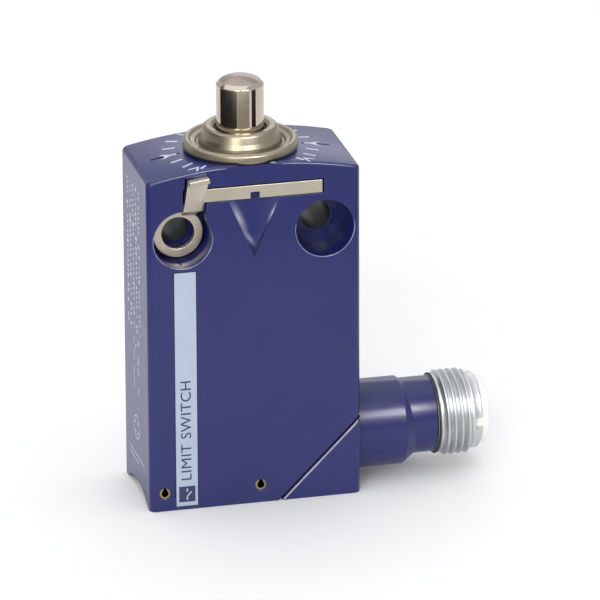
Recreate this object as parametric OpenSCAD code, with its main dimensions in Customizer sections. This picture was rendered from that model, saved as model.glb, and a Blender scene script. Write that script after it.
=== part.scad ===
// Miniature plunger limit switch with an M12 connector outlet at its lower corner.
// Origin: on the base plane, under the plunger's axis. +Z up, the front face looks along -Y,
// the connector points along +X. Millimetres.

/* [Casing] */
// Width of the casing, without the connector
body_w = 30; // [28:1:36]
// Depth of the casing, front to back
body_d = 16; // [15.5:0.5:20]
// Height of the casing at the crown of its top
body_h = 50; // [48:1:60]
// Rise of the crowned top above its side corners
crown_rise = 1.7; // [0.8:0.1:3]
// Radius of the upright outer corners
corner_r = 0.9; // [0.4:0.1:1.4]
// Wall around the switch chamber
wall = 1.6; // [1.3:0.1:2]
// Height of the arched relief in the left wall's lower edge
arch_h = 1.75; // [1:0.05:2.5]
// Solid casting above the chamber, which holds the fixing holes and the head
crown_block_h = 17; // [16:0.5:20]

/* [Fixing holes] */
// Diameter of the two fixing holes
fixing_d = 4.2; // [3.5:0.1:5]
// Distance of each fixing hole's axis from the casing's side
fixing_edge = 5; // [4.8:0.1:5.4]
// Depth of the fixing holes' axes below the crown of the top
fixing_drop = 10.3; // [10:0.1:11]
// Diameter of the counterbores in the front face
counterbore_d = 8.2; // [7.6:0.1:8.6]
// Depth of the counterbores
counterbore_depth = 5.5; // [4.5:0.5:8]

/* [Head and plunger] */
// Diameter of the steel plunger
plunger_d = 6.6; // [5.8:0.1:8.4]
// Length of the plunger that stands out of the head at rest
plunger_out = 7.1; // [6:0.1:9]
// Full travel of the plunger
plunger_travel = 4; // [3:0.1:4.5]
// Height of the plunger's bevelled and domed end
dome_h = 1.25; // [0.8:0.05:1.6]
// Diameter of the plunger's thin stem
stem_d = 3; // [2.4:0.1:3.4]
// Width of the head's flange outside its spigot
flange_lip = 2.25; // [1.5:0.05:2.5]
// Thickness of the head's flange at its rim
flange_t = 1.4; // [1.1:0.1:1.6]
// Height of the head's boss above the flange's seat
boss_h = 3.3; // [3:0.1:5]
// Length of the head's spigot in the casing
spigot_len = 5.75; // [5.5:0.05:6.5]
// Length of the head's spring tube below its spigot
tail_len = 7.5; // [7:0.1:9]

/* [Retaining clip] */
// Thickness of the clip's sheet
clip_t = 0.8; // [0.6:0.05:1]
// Height of the clip's front bar
clip_bar_h = 1.85; // [1.6:0.05:2.2]
// Depth of the bar's upper edge below the crown
clip_drop = 3.2; // [3:0.1:3.6]
// Width of the clip's arm
clip_arm_w = 2.85; // [2.2:0.05:3]
// Gap round the clip's eye, which lies in the left counterbore
clip_eye_gap = 0.6; // [0.4:0.05:0.8]
// Thickness of the fork's legs
clip_leg_t = 1.2; // [0.8:0.1:1.3]
// Width of each leg of the fork
clip_leg_w = 1.3; // [1:0.1:1.4]
// How far the finger tab on the arm's top stands out of the front face
clip_tab_out = 1.6; // [1.2:0.1:2]
// Slant of the finger tab
clip_tab_slant = 8; // [0:1:12]

/* [Connector] */
// Outside diameter of the connector's thread
thread_d = 12; // [10:0.5:14.5]
// Pitch of the connector's thread
thread_pitch = 1; // [0.75:0.05:1.25]
// Number of thread crests
thread_turns = 5; // [4:1:8]
// Length of the plain nose beyond the thread
nose_len = 1; // [1:0.1:3]
// Length of the wide barrel, from the casing's side
barrel_len = 7.2; // [6:0.1:12]
// Length of the step between the barrel and the collar
step_len = 1.9; // [1:0.1:3]
// Length of the collar that the threaded shell sits in
collar_len = 2.8; // [2:0.1:5]
// Wall of the collar around the shell's stub
collar_wall = 0.95; // [0.7:0.05:1.4]
// Diameter of each contact pin
pin_d = 1; // [0.8:0.05:1.2]
// Diameter of the circle that the contact pins stand on
pin_circle_d = 5.1; // [4.6:0.1:5.6]
// Place of the slanting joint along the base, from the plunger's axis
split_x = 3.2; // [2:0.1:5]
// Gap of the slanting joint, filled by the gasket
split_gap = 0.38; // [0.3:0.02:0.6]
// Thickness of the connector housing's base plate
base_t = 4.4; // [4:0.1:5]

/* [Fastenings and label] */
// Outside diameter of the two roll pins
roll_pin_d = 1.6; // [1.4:0.1:2]
// Height of the roll pins' axes
roll_pin_z = 2.65; // [2.4:0.05:2.8]
// Width of the label strip
label_w = 3.05; // [2.4:0.05:3.4]
// Height of the label strip's upper end
label_h = 35; // [20:0.5:35.2]

/* [Switch block] */
// Distance between the chamber's side walls and the switch block
block_gap = 2.9; // [2.5:0.1:4]
// Wall of the switch block's base and cover
block_wall = 1.3; // [1:0.1:1.5]
// Height of the switch block's underside
block_z = 10; // [9.6:0.1:11]
// Contact gap at rest, as a share of the plunger's travel
contact_ratio = 0.5; // [0.4:0.05:0.6]
// Diameter of each wire
wire_d = 1.1; // [0.8:0.1:1.2]

/* [Fits] */
// Radial clearance of the running fits
running = 0.05; // [0.03:0.01:0.08]
// Clearance between pieces that stay apart
apart = 0.3; // [0.25:0.05:0.4]
// Gap between faces that are screwed or laid together
laid = 0.04; // [0.02:0.01:0.08]

/* [Hidden] */
$fn = 64;
cut = 1;                                        // how far a cut runs past the face it opens

// Casing
half_w = body_w / 2;
half_d = body_d / 2;
side_h = body_h - crown_rise;
crown_r = (half_w * half_w + crown_rise * crown_rise) / (2 * crown_rise);
chamber_x = half_w - wall;
chamber_y = half_d - wall;
chamber_top = body_h - crown_block_h;
fixing_x = half_w - fixing_edge;
fixing_z = body_h - fixing_drop;
arch_span = 0.8 * body_d;
arch_r = (arch_span * arch_span / 4 + arch_h * arch_h) / (2 * arch_h);

// Head: every radius grows outwards from the plunger
plunger_r = plunger_d / 2;
stem_r = stem_d / 2;
plunger_collar_r = plunger_r + 0.5;
collar_t = 1.2;
head_bore_r = plunger_collar_r + 0.1;
groove_r = head_bore_r + 0.7;
spigot_r = groove_r + 1.15;
tail_r = head_bore_r + 0.6;
flange_r = spigot_r + flange_lip;
boss_root_r = spigot_r;
boss_top_r = boss_root_r - 0.65;
mouth_r = plunger_r + 0.35;
flat_drop = 0.25;                               // the flange's seat, below the crown
seat_z = body_h - flat_drop;
head_z = seat_z + laid;
boss_top = seat_z + boss_h;
spigot_z = seat_z - spigot_len;
tail_z = spigot_z - tail_len;
lip_t = 0.6;
wiper_t = 0.7;
bush_len = 4.6;
bush_top = boss_top - lip_t - wiper_t - laid;
bush_z = bush_top - bush_len;
plunger_end = boss_top + plunger_out;
shoulder_z = plunger_end - dome_h;
tail_cap_t = 1.3;
spring_seat_z = tail_z + tail_cap_t;
collar_z = bush_z - laid - collar_t;
spring_wire = 0.7;
o_ring_wire = 0.64;

// Clip
bar_top = body_h - clip_drop;
bar_z = bar_top - clip_bar_h;
o_ring_z = bar_top + 1.2;
leg_mid = (bar_z + bar_top) / 2;
groove_h = clip_leg_t + 0.4;
arm_right = -fixing_x + 0.5 + clip_arm_w / 2 + 1.2;
arm_left = arm_right - clip_arm_w;
arm_top = side_h + 0.4;
arm_out = clip_t + 0.05;                        // the arm's top stands clear of the front face
arm_lean = 0.35;                                // sideways, from the arm's foot to its top
bar_right = fixing_x - 0.35;
leg_in = groove_r + 0.12;
leg_out = leg_in + clip_leg_w;
leg_reach = half_d + 4;
eye_depth = 3.1;
eye_r = counterbore_d / 2 - clip_eye_gap;
eye_hole_r = eye_r - 1.2;
arm_foot_z = fixing_z + 3.7;

// Connector
thread_r = thread_d / 2;
root_r = thread_r - 0.61 * thread_pitch;
stub_r = thread_r - 1.6;
collar_r = stub_r + collar_wall;
barrel_r = collar_r + 0.85;
barrel_z = barrel_r + 0.95;
axis_rise = 0.5;
axis_z = barrel_z + axis_rise;
barrel_end = half_w + barrel_len;
collar_start = barrel_end + step_len;
collar_end = collar_start + collar_len;
seal_wire = 0.3;
thread_start = collar_end + seal_wire + 0.1;
thread_end = thread_start + thread_turns * thread_pitch;
nose_end = thread_end + nose_len;
stub_start = barrel_end - 1.3;
insert_r = thread_r - 1.2;
insert_back_r = stub_r - 0.6;
insert_end = nose_end + 1.1;
socket_r = insert_r - 0.7;
socket_z = thread_start + 0.8;
insert_back = collar_start + 0.3;
wire_bore_r = min(3.6, stub_r - 0.8);
pin_back = insert_back - 0.9;
pin_tip = insert_end - 1.2;
pin_off = pin_circle_d / 2 * sqrt(0.5);

// Slanting joint: the casing lies above z = x - split_x, the housing below it
slant = split_gap * sqrt(2);

// Roll pins
pin_left_x = -half_w + 2.1;
pin_right_x = split_x - 2.5;

// Switch block
block_x = chamber_x - block_gap;
block_top = chamber_top - 1;
block_back = chamber_y - 0.1;
cover_head_t = 0.8;
block_front = -chamber_y + cover_head_t + 0.25;
column = 3;                                     // solid ends of the block that hold the screws
cavity_x = block_x - column;
cavity_y = min(-block_front, block_back) - block_wall;
cavity_z0 = block_z + block_wall;
cavity_z1 = block_top - block_wall;
rod_r = 1.6;
carriage_half = 2.4;
carriage_top = cavity_z1 - apart;
carriage_z = cavity_z0 + plunger_travel + 2.2;
carriage_web = 1.2;
rod_top = tail_z - 2.4;
rod_bottom = carriage_z - 1.6;
stem_z = rod_top + laid;
bridge_t = 0.5;
bridge_half_y = 1.2;
bridge_x = cavity_x - 1;
contact_x = bridge_x - 1.3;
tip_r = 0.9;
tip_t = 0.35;
slide = contact_ratio * plunger_travel;
upper_z = carriage_top - carriage_web - slide - apart - bridge_t;
upper_spring_z = upper_z - 2.2;
lower_z = carriage_z + carriage_web + apart;
lower_spring_z = lower_z + bridge_t + slide + 1.5;
strip_t = 0.4;
upper_pad_z = upper_z + bridge_t + 2 * tip_t + laid;
lower_pad_z = lower_z - 2 * tip_t - slide - laid - strip_t;
leg_x = cavity_x - 0.1;
tag_z = block_z - 1.8;
leg_y = bridge_half_y + 0.3;
leg_w = 1.6;
screw_r = 0.8;
screw_x = block_x - column / 2;

paint = [0.24, 0.25, 0.45];
steel = [0.72, 0.71, 0.68];
nickel = [0.62, 0.6, 0.5];
zinc = [0.6, 0.62, 0.62];
brass = [0.8, 0.66, 0.36];
silver = [0.86, 0.86, 0.84];
rubber = [0.1, 0.1, 0.11];
white = [0.93, 0.93, 0.9];
grey = [0.35, 0.36, 0.38];

// Helpers ------------------------------------------------------------------------------------

// A block from corner a to corner b
module span(a, b) {
    translate(a) cube(b - a);
}

// A cylinder along +X, from x0 to x1
module rod_x(r, x0, x1, y = 0, z = 0) {
    translate([x0, y, z]) rotate([0, 90, 0]) cylinder(h = x1 - x0, r = r);
}

// A cylinder along +Y, from y0 to y1
module rod_y(r, y0, y1, x = 0, z = 0) {
    translate([x, y0, z]) rotate([-90, 0, 0]) cylinder(h = y1 - y0, r = r);
}

// A rectangle about the origin with round corners
module round_rect(w, d, r) {
    square([w - 2 * r, d], center = true);
    square([w, d - 2 * r], center = true);
    for (sx = [-1, 1], sy = [-1, 1])
        translate([sx * (w / 2 - r), sy * (d / 2 - r)]) circle(r);
}

// Everything under the crowned top, drop below it
module under_crown(drop = 0) {
    rod_y(crown_r - drop, -body_d, body_d, z = body_h - crown_r);
}

// The casing's outer block
module outer_block() {
    intersection() {
        linear_extrude(body_h) round_rect(body_w, body_d, corner_r);
        under_crown();
    }
}

// The space below the slanting joint's plane, drop down from it
module below_slant(drop, half_y) {
    reach = body_w;
    translate([0, half_y, 0]) rotate([90, 0, 0])
        linear_extrude(2 * half_y)
            polygon([[split_x + drop - cut, -cut], [reach, -cut],
                     [reach, reach - split_x - drop]]);
}

function unit(v) = v / norm(v);
function frame_of(t, ref) = let (n = unit(cross(ref, t))) [n, cross(t, n)];
function tangent(p, i) =
    unit(p[min(i + 1, len(p) - 1)] - p[max(i - 1, 0)]);

// A round tube of radius r along the points p, with its rings turned to ref
module sweep(p, r, sides, ref) {
    rings = [for (i = [0:len(p) - 1])
        let (f = frame_of(tangent(p, i), ref))
        for (k = [0:sides - 1])
            p[i] + r * (cos(360 * k / sides) * f[0] + sin(360 * k / sides) * f[1])];
    last = len(p) - 1;
    skin = [for (i = [0:last - 1], k = [0:sides - 1])
        let (a = i * sides + k, b = i * sides + (k + 1) % sides)
        each [[a, b, b + sides], [a, b + sides, a + sides]]];
    ends = [[for (k = [sides - 1:-1:0]) k], [for (k = [0:sides - 1]) last * sides + k]];
    polyhedron(rings, [for (f = concat(skin, ends)) [for (k = [len(f) - 1:-1:0]) f[k]]]);
}

// A smooth curve through the points p, n steps from each one to the next
function bend(a, b, c, d, t) =
    0.5 * (2 * b + (c - a) * t + (2 * a - 5 * b + 4 * c - d) * t * t
           + (3 * b - a - 3 * c + d) * t * t * t);
function smooth(p, n) = [
    for (i = [0:len(p) - 2], k = [0:n - 1])
        bend(p[max(i - 1, 0)], p[i], p[i + 1], p[min(i + 2, len(p) - 1)], k / n),
    p[len(p) - 1]];

// An upright coil spring, from z0 to z1, with its end turns closed up
module coil(r, wire, z0, z1, turns, at = [0, 0]) {
    steps = 14;
    count = turns * steps;
    dead = 0.9 * steps;
    low = z0 + wire / 2;
    rise = z1 - z0 - wire - 2 * wire;
    function level(i) = low
        + wire * min(i, dead) / dead
        + wire * max(0, i - count + dead) / dead
        + rise * min(max(i - dead, 0), count - 2 * dead) / (count - 2 * dead);
    sweep([for (i = [0:count])
              [at[0] + r * cos(360 * i / steps), at[1] + r * sin(360 * i / steps), level(i)]],
          wire / 2 * 0.96, 6, [0, 0, 1]);
}

// Casing ---------------------------------------------------------------------------------------

// Pocket for the clip: its bar, arm, fork and eye
module clip_pocket() {
    gap = 0.2;
    front = -half_d - cut;
    span([arm_left - gap, front, bar_z - 0.05],
         [bar_right + gap, -half_d + clip_t + 0.1, bar_top + gap]);
    translate([0, -half_d + 2.6, 0]) rotate([90, 0, 0]) linear_extrude(2.6 + cut)
        polygon([[arm_left - gap, arm_foot_z - gap], [arm_right + gap, arm_foot_z - gap],
                 [arm_right + arm_lean + gap, arm_top - 0.1],
                 [arm_left + arm_lean - gap, arm_top - 0.1]]);
    span([arm_left - gap, front, fixing_z + 1.5],
         [arm_right + gap, -half_d + eye_depth + clip_t + gap, arm_foot_z + 0.5]);
    for (s = [-1, 1])
        translate([s * (leg_in + leg_out) / 2, -half_d + (leg_reach + apart) / 2 - cut / 2, leg_mid])
            cube([clip_leg_w + 0.2, leg_reach + apart + cut, groove_h], center = true);
}

// Shallow half-cone scoop that leads a screwdriver under the clip's bar
module scoop() {
    tilt = 43.75;
    half_angle = 48.5;
    reach = 14;
    height = bar_z - (fixing_z - 3.2);
    intersection() {
        translate([0, -half_d, bar_z - height]) rotate([tilt, 0, 0])
            cylinder(h = reach, r1 = 0, r2 = reach * tan(half_angle));
        span([-half_w, -half_d - reach, 0], [half_w, half_d, bar_z]);
    }
}

// Engraved index lines on the crowned top, either side of the head
module index_lines() {
    line_w = 0.4;
    intersection() {
        for (s = [-1, 1])
            translate([s * (flange_r + 2.6), 0, body_h]) cube([4, line_w, 8], center = true);
        difference() {
            under_crown(-2);
            under_crown(0.25);
        }
    }
}

module casing() color(paint) difference() {
    outer_block();
    // switch chamber, open below for the connector housing's base plate
    span([-chamber_x, -chamber_y, -cut], [chamber_x, chamber_y, chamber_top]);
    // everything under the slanting joint belongs to the connector housing
    below_slant(0, body_d);
    // bore for the head's spigot and its spring tube, and the flange's flat seat
    translate([0, 0, spigot_z - laid]) cylinder(h = body_h, r = spigot_r + running);
    translate([0, 0, chamber_top - cut]) cylinder(h = body_h / 2, r = tail_r + apart);
    translate([0, 0, seat_z]) cylinder(h = crown_rise + cut, r = flange_r + apart);
    // fixing holes with their counterbores and the small step at the bottom
    for (s = [-1, 1]) {
        rod_y(fixing_d / 2, -half_d - cut, half_d + cut, s * fixing_x, fixing_z);
        rod_y(counterbore_d / 2, -half_d - cut, -half_d + counterbore_depth, s * fixing_x, fixing_z);
        rod_y(fixing_d / 2 + 0.6, -half_d, -half_d + counterbore_depth + 0.4, s * fixing_x, fixing_z);
    }
    clip_pocket();
    scoop();
    index_lines();
    // arched relief in the left wall
    rod_x(arch_r, -half_w - cut, -chamber_x + cut, z = arch_h - arch_r);
    // roll pin holes
    for (x = [pin_left_x, pin_right_x])
        rod_y(roll_pin_d / 2, -half_d - cut, half_d + cut, x, roll_pin_z);
    // shallow pocket for the label strip
    label_outline(-half_d - cut, -half_d + 0.15, 0.05);
}

// The label's outline between two depths, grown by gap
module label_outline(y0, y1, gap) {
    x0 = -half_w + 3.7 - gap;
    x1 = -half_w + 3.7 + label_w + gap;
    span([x0, y0, 0.6 - gap], [x1, y1, label_h + gap]);
}

module label_strip() color([0.78, 0.83, 0.9])
    label_outline(-half_d - 0.08, -half_d + 0.14, 0);

// Connector housing ------------------------------------------------------------------------------

module connector_housing() color(paint) difference() {
    union() {
        // wedge that completes the casing's lower corner
        intersection() {
            outer_block();
            below_slant(slant, body_d);
        }
        // base plate that slides up between the casing's walls
        intersection() {
            union() {
                span([-chamber_x + laid, -chamber_y + laid, 0],
                     [split_x + base_t + slant + 1, chamber_y - laid, base_t]);
                // posts that carry the switch block
                for (x = [-block_x + 1.2, split_x + 1.1])
                    span([x, chamber_y - 3.2, 0], [x + 1.8, chamber_y - 0.4, block_z - laid]);
            }
            span([-half_w, -half_d, 0], [split_x + base_t + slant, half_d, block_z]);
        }
        // barrel, step and collar
        rod_x(barrel_r, half_w, barrel_end, z = barrel_z);
        translate([barrel_end, 0, barrel_z]) rotate([0, 90, 0])
            cylinder(h = step_len, r1 = barrel_r, r2 = collar_r - axis_rise);
        rod_x(collar_r, barrel_end - cut, collar_end, z = axis_z);
    }
    // dark pocket behind the arched relief
    span([-half_w, -arch_span / 2 + 1.2, -cut], [-chamber_x + 1.6, arch_span / 2 - 1.2, base_t - 1.2]);
    // way for the wires, and the bore for the shell's stub
    rod_x(wire_bore_r, split_x, collar_end + cut, z = axis_z);
    rod_x(stub_r + laid, stub_start - laid, collar_end + cut, z = axis_z);
    for (x = [pin_left_x, pin_right_x])
        rod_y(roll_pin_d / 2, -half_d - cut, half_d + cut, x, roll_pin_z);
}

module joint_gasket() color(rubber) intersection() {
    difference() {
        below_slant(laid, chamber_y + 0.9);
        below_slant(slant - laid, body_d);
        span([-half_w, -chamber_y - laid, -cut], [chamber_x - 0.05, chamber_y + laid, body_h]);
    }
    span([0, -half_d, 0.5], [half_w - 0.5, half_d, body_h]);
}

// A slotted roll pin through both walls and the base plate
module roll_pin(x) {
    difference() {
        rod_y(roll_pin_d / 2 - 0.005, -half_d + 0.02, half_d - 0.02, x, roll_pin_z);
        rod_y(roll_pin_d / 4, -half_d - cut, half_d + cut, x, roll_pin_z);
        span([x - 0.12, -half_d - cut, roll_pin_z], [x + 0.12, half_d + cut, roll_pin_z + roll_pin_d]);
    }
}

module roll_pin_left() color(brass) roll_pin(pin_left_x);
module roll_pin_right() color(brass) roll_pin(pin_right_x);

// Connector -------------------------------------------------------------------------------------

module connector_shell() color(zinc) difference() {
    translate([0, 0, axis_z]) rotate([0, 90, 0]) rotate_extrude()
        polygon(concat(
            [[insert_back_r + laid, stub_start], [stub_r, stub_start], [stub_r, collar_end + 0.04],
             [root_r, collar_end + 0.04]],
            [for (i = [0:thread_turns - 1])
                let (z = thread_start + i * thread_pitch)
                each [[root_r, z + 0.06 * thread_pitch], [thread_r, z + 0.4 * thread_pitch],
                      [thread_r, z + 0.6 * thread_pitch], [root_r, z + 0.94 * thread_pitch]]],
            [[root_r, nose_end - 0.2], [root_r - 0.2, nose_end], [insert_r + laid, nose_end],
             [insert_r + laid, thread_start + 0.4], [insert_back_r + laid, thread_start]]));
    // keying notch in the nose
    span([nose_end - 1, -thread_r - cut, axis_z - 0.75], [nose_end + cut, -insert_r + 0.4, axis_z + 0.75]);
}

// The ring that seals the mating plug, in the angle between collar and thread
module connector_o_ring() color(rubber)
    translate([collar_end + 0.05 + seal_wire / 2, 0, axis_z]) rotate([0, 90, 0])
        rotate_extrude() translate([root_r + seal_wire / 2 + 0.01, 0]) circle(seal_wire / 2 - 0.01);

module connector_insert() color(white) translate([0, 0, axis_z]) difference() {
    union() {
        rod_x(insert_back_r, insert_back, thread_start + 0.6);
        rod_x(insert_r, thread_start + 0.6, insert_end - 0.35);
        translate([insert_end - 0.35, 0, 0]) rotate([0, 90, 0])
            cylinder(h = 0.35, r1 = insert_r, r2 = insert_r - 0.25);
    }
    rod_x(socket_r, socket_z, insert_end + cut);
    for (sy = [-1, 1], sz = [-1, 1])
        rod_x(pin_d / 2 + 0.005, insert_back - cut, insert_end, sy * pin_off, sz * pin_off);
    // coding keyway
    span([socket_z, socket_r - 0.5, -0.5], [insert_end + cut, socket_r + 0.4, 0.5]);
}

module connector_pins() color(brass)
    for (sy = [-1, 1], sz = [-1, 1])
        translate([0, sy * pin_off, axis_z + sz * pin_off]) {
            rod_x(pin_d / 2, pin_back, pin_tip - 0.4);
            translate([pin_tip - 0.4, 0, 0]) rotate([0, 90, 0])
                cylinder(h = 0.4, r1 = pin_d / 2, r2 = pin_d / 4);
        }

// A wire from a tag under the switch block to the back of a connector pin
module wire(side, sy, low) {
    y0 = sy * (leg_y + leg_w / 2);
    lane = low ? 0.8 : 1.75;
    deck = low ? axis_z - 1.5 : axis_z + 0.45;
    duck = base_t + 1.35;
    mid = split_x + duck + 4.6;
    left = [[-leg_x + strip_t / 2, y0, tag_z - laid], [-leg_x + 0.5, y0, tag_z - 1.2],
            [-leg_x + 2.4, y0 * 0.8, duck], [0, sy * lane, duck], [split_x + 2.2, sy * lane, duck]];
    right = [[leg_x - strip_t / 2, y0, tag_z - laid], [leg_x - 0.1, y0, tag_z - 0.6],
             [leg_x + 1.2, sy * 2.1, min(axis_z + 0.1, tag_z - 0.4)]];
    tail = [[mid, sy * lane, deck], [half_w + 3, sy * lane, deck],
            [pin_back - 1.5, sy * pin_off, axis_z + (low ? -1 : 1) * pin_off],
            [pin_back - 2 * laid, sy * pin_off, axis_z + (low ? -1 : 1) * pin_off]];
    sweep(smooth(concat(side < 0 ? left : right, tail), 4), wire_d / 2, 8, [0, 1, 0]);
}

module wire_brown() color([0.4, 0.22, 0.1]) wire(-1, -1, true);
module wire_white() color(white) wire(-1, 1, true);
module wire_blue() color([0.1, 0.25, 0.7]) wire(1, -1, false);
module wire_black() color(rubber) wire(1, 1, false);

// Clip ------------------------------------------------------------------------------------------

module retaining_clip() color(steel) difference() {
    union() {
        // bar across the front, with the fork's two legs behind it
        span([arm_right - 0.3, -half_d + 0.05, bar_z], [bar_right, -half_d + 0.05 + clip_t, bar_top]);
        for (s = [-1, 1])
            span([s > 0 ? leg_in : -leg_out, -half_d + 0.1, leg_mid - clip_leg_t / 2],
                 [s > 0 ? leg_out : -leg_in, -half_d + leg_reach, leg_mid + clip_leg_t / 2]);
        // arm, leaning in at its foot, with a finger tab bent out at its top
        hull() {
            span([arm_left + arm_lean, -half_d - arm_out, arm_top - 0.6],
                 [arm_right + arm_lean, -half_d - arm_out + clip_t, arm_top - 0.3]);
            span([arm_left, -half_d + 0.9, arm_foot_z],
                 [arm_right, -half_d + 0.9 + clip_t, arm_foot_z + 0.3]);
        }
        translate([(arm_left + arm_right) / 2 + arm_lean, -half_d, arm_top])
            rotate([0, -clip_tab_slant, 0])
                span([-clip_arm_w / 2, -clip_tab_out, -0.7], [clip_arm_w / 2, clip_t - arm_out, 0]);
        // strip from the arm's foot to the eye
        hull() {
            span([arm_left + 0.3, -half_d + 0.9, arm_foot_z],
                 [arm_right - 0.5, -half_d + 0.9 + clip_t, arm_foot_z + 0.6]);
            span([arm_left + 0.3, -half_d + eye_depth, fixing_z + eye_hole_r + 0.2],
                 [arm_right - 0.5, -half_d + eye_depth + clip_t, fixing_z + eye_r - 0.7]);
        }
        rod_y(eye_r, -half_d + eye_depth, -half_d + eye_depth + clip_t, -fixing_x, fixing_z);
    }
    rod_y(eye_hole_r, -half_d - cut, half_d, -fixing_x, fixing_z);
    // notch in the bar's lower edge
    span([-0.45, -half_d - cut, bar_z - cut], [0.8, -half_d + clip_t + 0.2, bar_z + 0.9]);
}

// Head ------------------------------------------------------------------------------------------

module head_housing() color(nickel) difference() {
    rotate_extrude() polygon([
        [head_bore_r, tail_z], [tail_r, tail_z], [tail_r, spigot_z], [spigot_r, spigot_z],
        [spigot_r, leg_mid - groove_h / 2], [groove_r, leg_mid - groove_h / 2],
        [groove_r, leg_mid + groove_h / 2], [spigot_r, leg_mid + groove_h / 2],
        [spigot_r, o_ring_z - 0.4], [spigot_r - o_ring_wire, o_ring_z - 0.4],
        [spigot_r - o_ring_wire, o_ring_z + 0.4], [spigot_r, o_ring_z + 0.4],
        [spigot_r, head_z], [flange_r - 0.25, head_z], [flange_r, head_z + 0.25],
        [flange_r, head_z + flange_t - 0.45], [flange_r - 0.45, head_z + flange_t],
        [flange_r - 0.8, head_z + flange_t], [flange_r - 1.15, head_z + flange_t - 0.4],
        [boss_root_r + 0.4, head_z + flange_t - 0.45], [boss_root_r + 0.3, head_z + flange_t - 0.7],
        [boss_root_r, head_z + flange_t - 0.7], [boss_root_r, head_z + flange_t],
        [boss_top_r, boss_top - 0.3], [boss_top_r - 0.3, boss_top], [mouth_r + 0.25, boss_top],
        [mouth_r, boss_top - 0.25], [mouth_r, boss_top - lip_t], [head_bore_r, boss_top - lip_t]]);
}

module head_o_ring() color(rubber)
    rotate_extrude() translate([spigot_r - o_ring_wire / 2, o_ring_z]) circle(o_ring_wire / 2 - 0.01);

module plunger_bush() color(brass) rotate_extrude()
    polygon([[plunger_r + running, bush_z], [head_bore_r - 0.01, bush_z],
             [head_bore_r - 0.01, bush_top], [plunger_r + running, bush_top]]);

module wiper_seal() color(rubber) rotate_extrude()
    polygon([[plunger_r + running, boss_top - lip_t - laid], [plunger_r + 0.25, bush_top + laid],
             [head_bore_r - 0.01, bush_top + laid], [head_bore_r - 0.01, boss_top - lip_t - laid]]);

module plunger() color(silver) {
    edge = 0.5;
    ball = ((plunger_r - edge) * (plunger_r - edge) + (dome_h - edge) * (dome_h - edge))
           / (2 * (dome_h - edge));
    translate([0, 0, stem_z]) cylinder(h = collar_z - stem_z + cut, r = stem_r);
    translate([0, 0, collar_z]) cylinder(h = collar_t, r = plunger_collar_r);
    translate([0, 0, collar_z + cut / 2]) cylinder(h = shoulder_z - collar_z - cut / 2, r = plunger_r);
    intersection() {
        translate([0, 0, shoulder_z]) union() {
            cylinder(h = edge, r1 = plunger_r, r2 = plunger_r - edge);
            translate([0, 0, edge]) cylinder(h = dome_h, r = plunger_r - edge);
        }
        translate([0, 0, plunger_end - ball]) sphere(ball);
    }
}

module plunger_spring() color(steel)
    coil((head_bore_r + stem_r) / 2 + 0.2, spring_wire, spring_seat_z + laid, collar_z - laid, 5);

module tail_cap() color(brass) rotate_extrude()
    polygon([[stem_r + 0.15, tail_z + 0.02], [head_bore_r - 0.01, tail_z + 0.02],
             [head_bore_r - 0.01, spring_seat_z], [stem_r + 0.15, spring_seat_z]]);

// Switch block ----------------------------------------------------------------------------------

// The block's shell between two depths, with the carriage's bore and the contact strips' slots
module block_half(y0, y1) {
    difference() {
        span([-block_x, y0, block_z], [block_x, y1, block_top]);
        span([-cavity_x, -cavity_y, cavity_z0], [cavity_x, cavity_y, cavity_z1]);
        translate([0, 0, cavity_z1 - cut]) cylinder(h = body_h, r = rod_r + running);
        for (sx = [-1, 1], sy = [-1, 1])
            translate([sx * (leg_x - strip_t / 2), sy * (leg_y + leg_w / 2), block_z])
                cube([strip_t + 0.04, leg_w + 0.04, 6], center = true);
        for (x = [-screw_x, screw_x], z = [block_z + 2, block_top - 2])
            rod_y(screw_r, block_front - cut, block_back - 1, x, z);
    }
}

module switch_base() color(grey) block_half(laid, block_back);
module switch_cover() color([0.55, 0.12, 0.1]) block_half(block_front, 0);

module cover_screws() color(steel)
    for (x = [-screw_x, screw_x], z = [block_z + 2, block_top - 2]) difference() {
        union() {
            rod_y(screw_r - 0.01, block_front - cut / 2, block_back - 2, x, z);
            rod_y(1.4, block_front - cover_head_t, block_front - laid, x, z);
        }
        translate([x, block_front - cover_head_t, z]) cube([3, 0.7, 0.4], center = true);
    }

// A contact strip: a pad with a silver tip, and a leg that leaves through the block's floor
module fixed_contact(sx, sy, pad_z, tip_up) {
    color(brass) {
        translate([sx > 0 ? contact_x - 1 : -leg_x, sy > 0 ? -bridge_half_y : -leg_y - leg_w, pad_z])
            cube([leg_x - contact_x + 1, leg_y + leg_w + bridge_half_y, strip_t]);
        translate([sx > 0 ? leg_x - strip_t : -leg_x, sy > 0 ? leg_y : -leg_y - leg_w, tag_z])
            cube([strip_t, leg_w, pad_z - tag_z + strip_t]);
    }
    color(silver) translate([sx * contact_x, 0, tip_up ? pad_z + strip_t : pad_z - tip_t])
        cylinder(h = tip_t, r = tip_r);
}

module fixed_contact_11() fixed_contact(-1, 1, upper_pad_z, false);
module fixed_contact_12() fixed_contact(1, 1, upper_pad_z, false);
module fixed_contact_23() fixed_contact(-1, -1, lower_pad_z, true);
module fixed_contact_24() fixed_contact(1, -1, lower_pad_z, true);

// A moving bridge with a tip at each end
module bridge(z, tip_up) {
    color(brass) span([-bridge_x, -bridge_half_y, z], [bridge_x, bridge_half_y, z + bridge_t]);
    color(silver) for (s = [-1, 1])
        translate([s * contact_x, 0, tip_up ? z + bridge_t : z - tip_t])
            cylinder(h = tip_t, r = tip_r);
}

module bridge_upper() bridge(upper_z, true);
module bridge_lower() bridge(lower_z, false);

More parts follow.
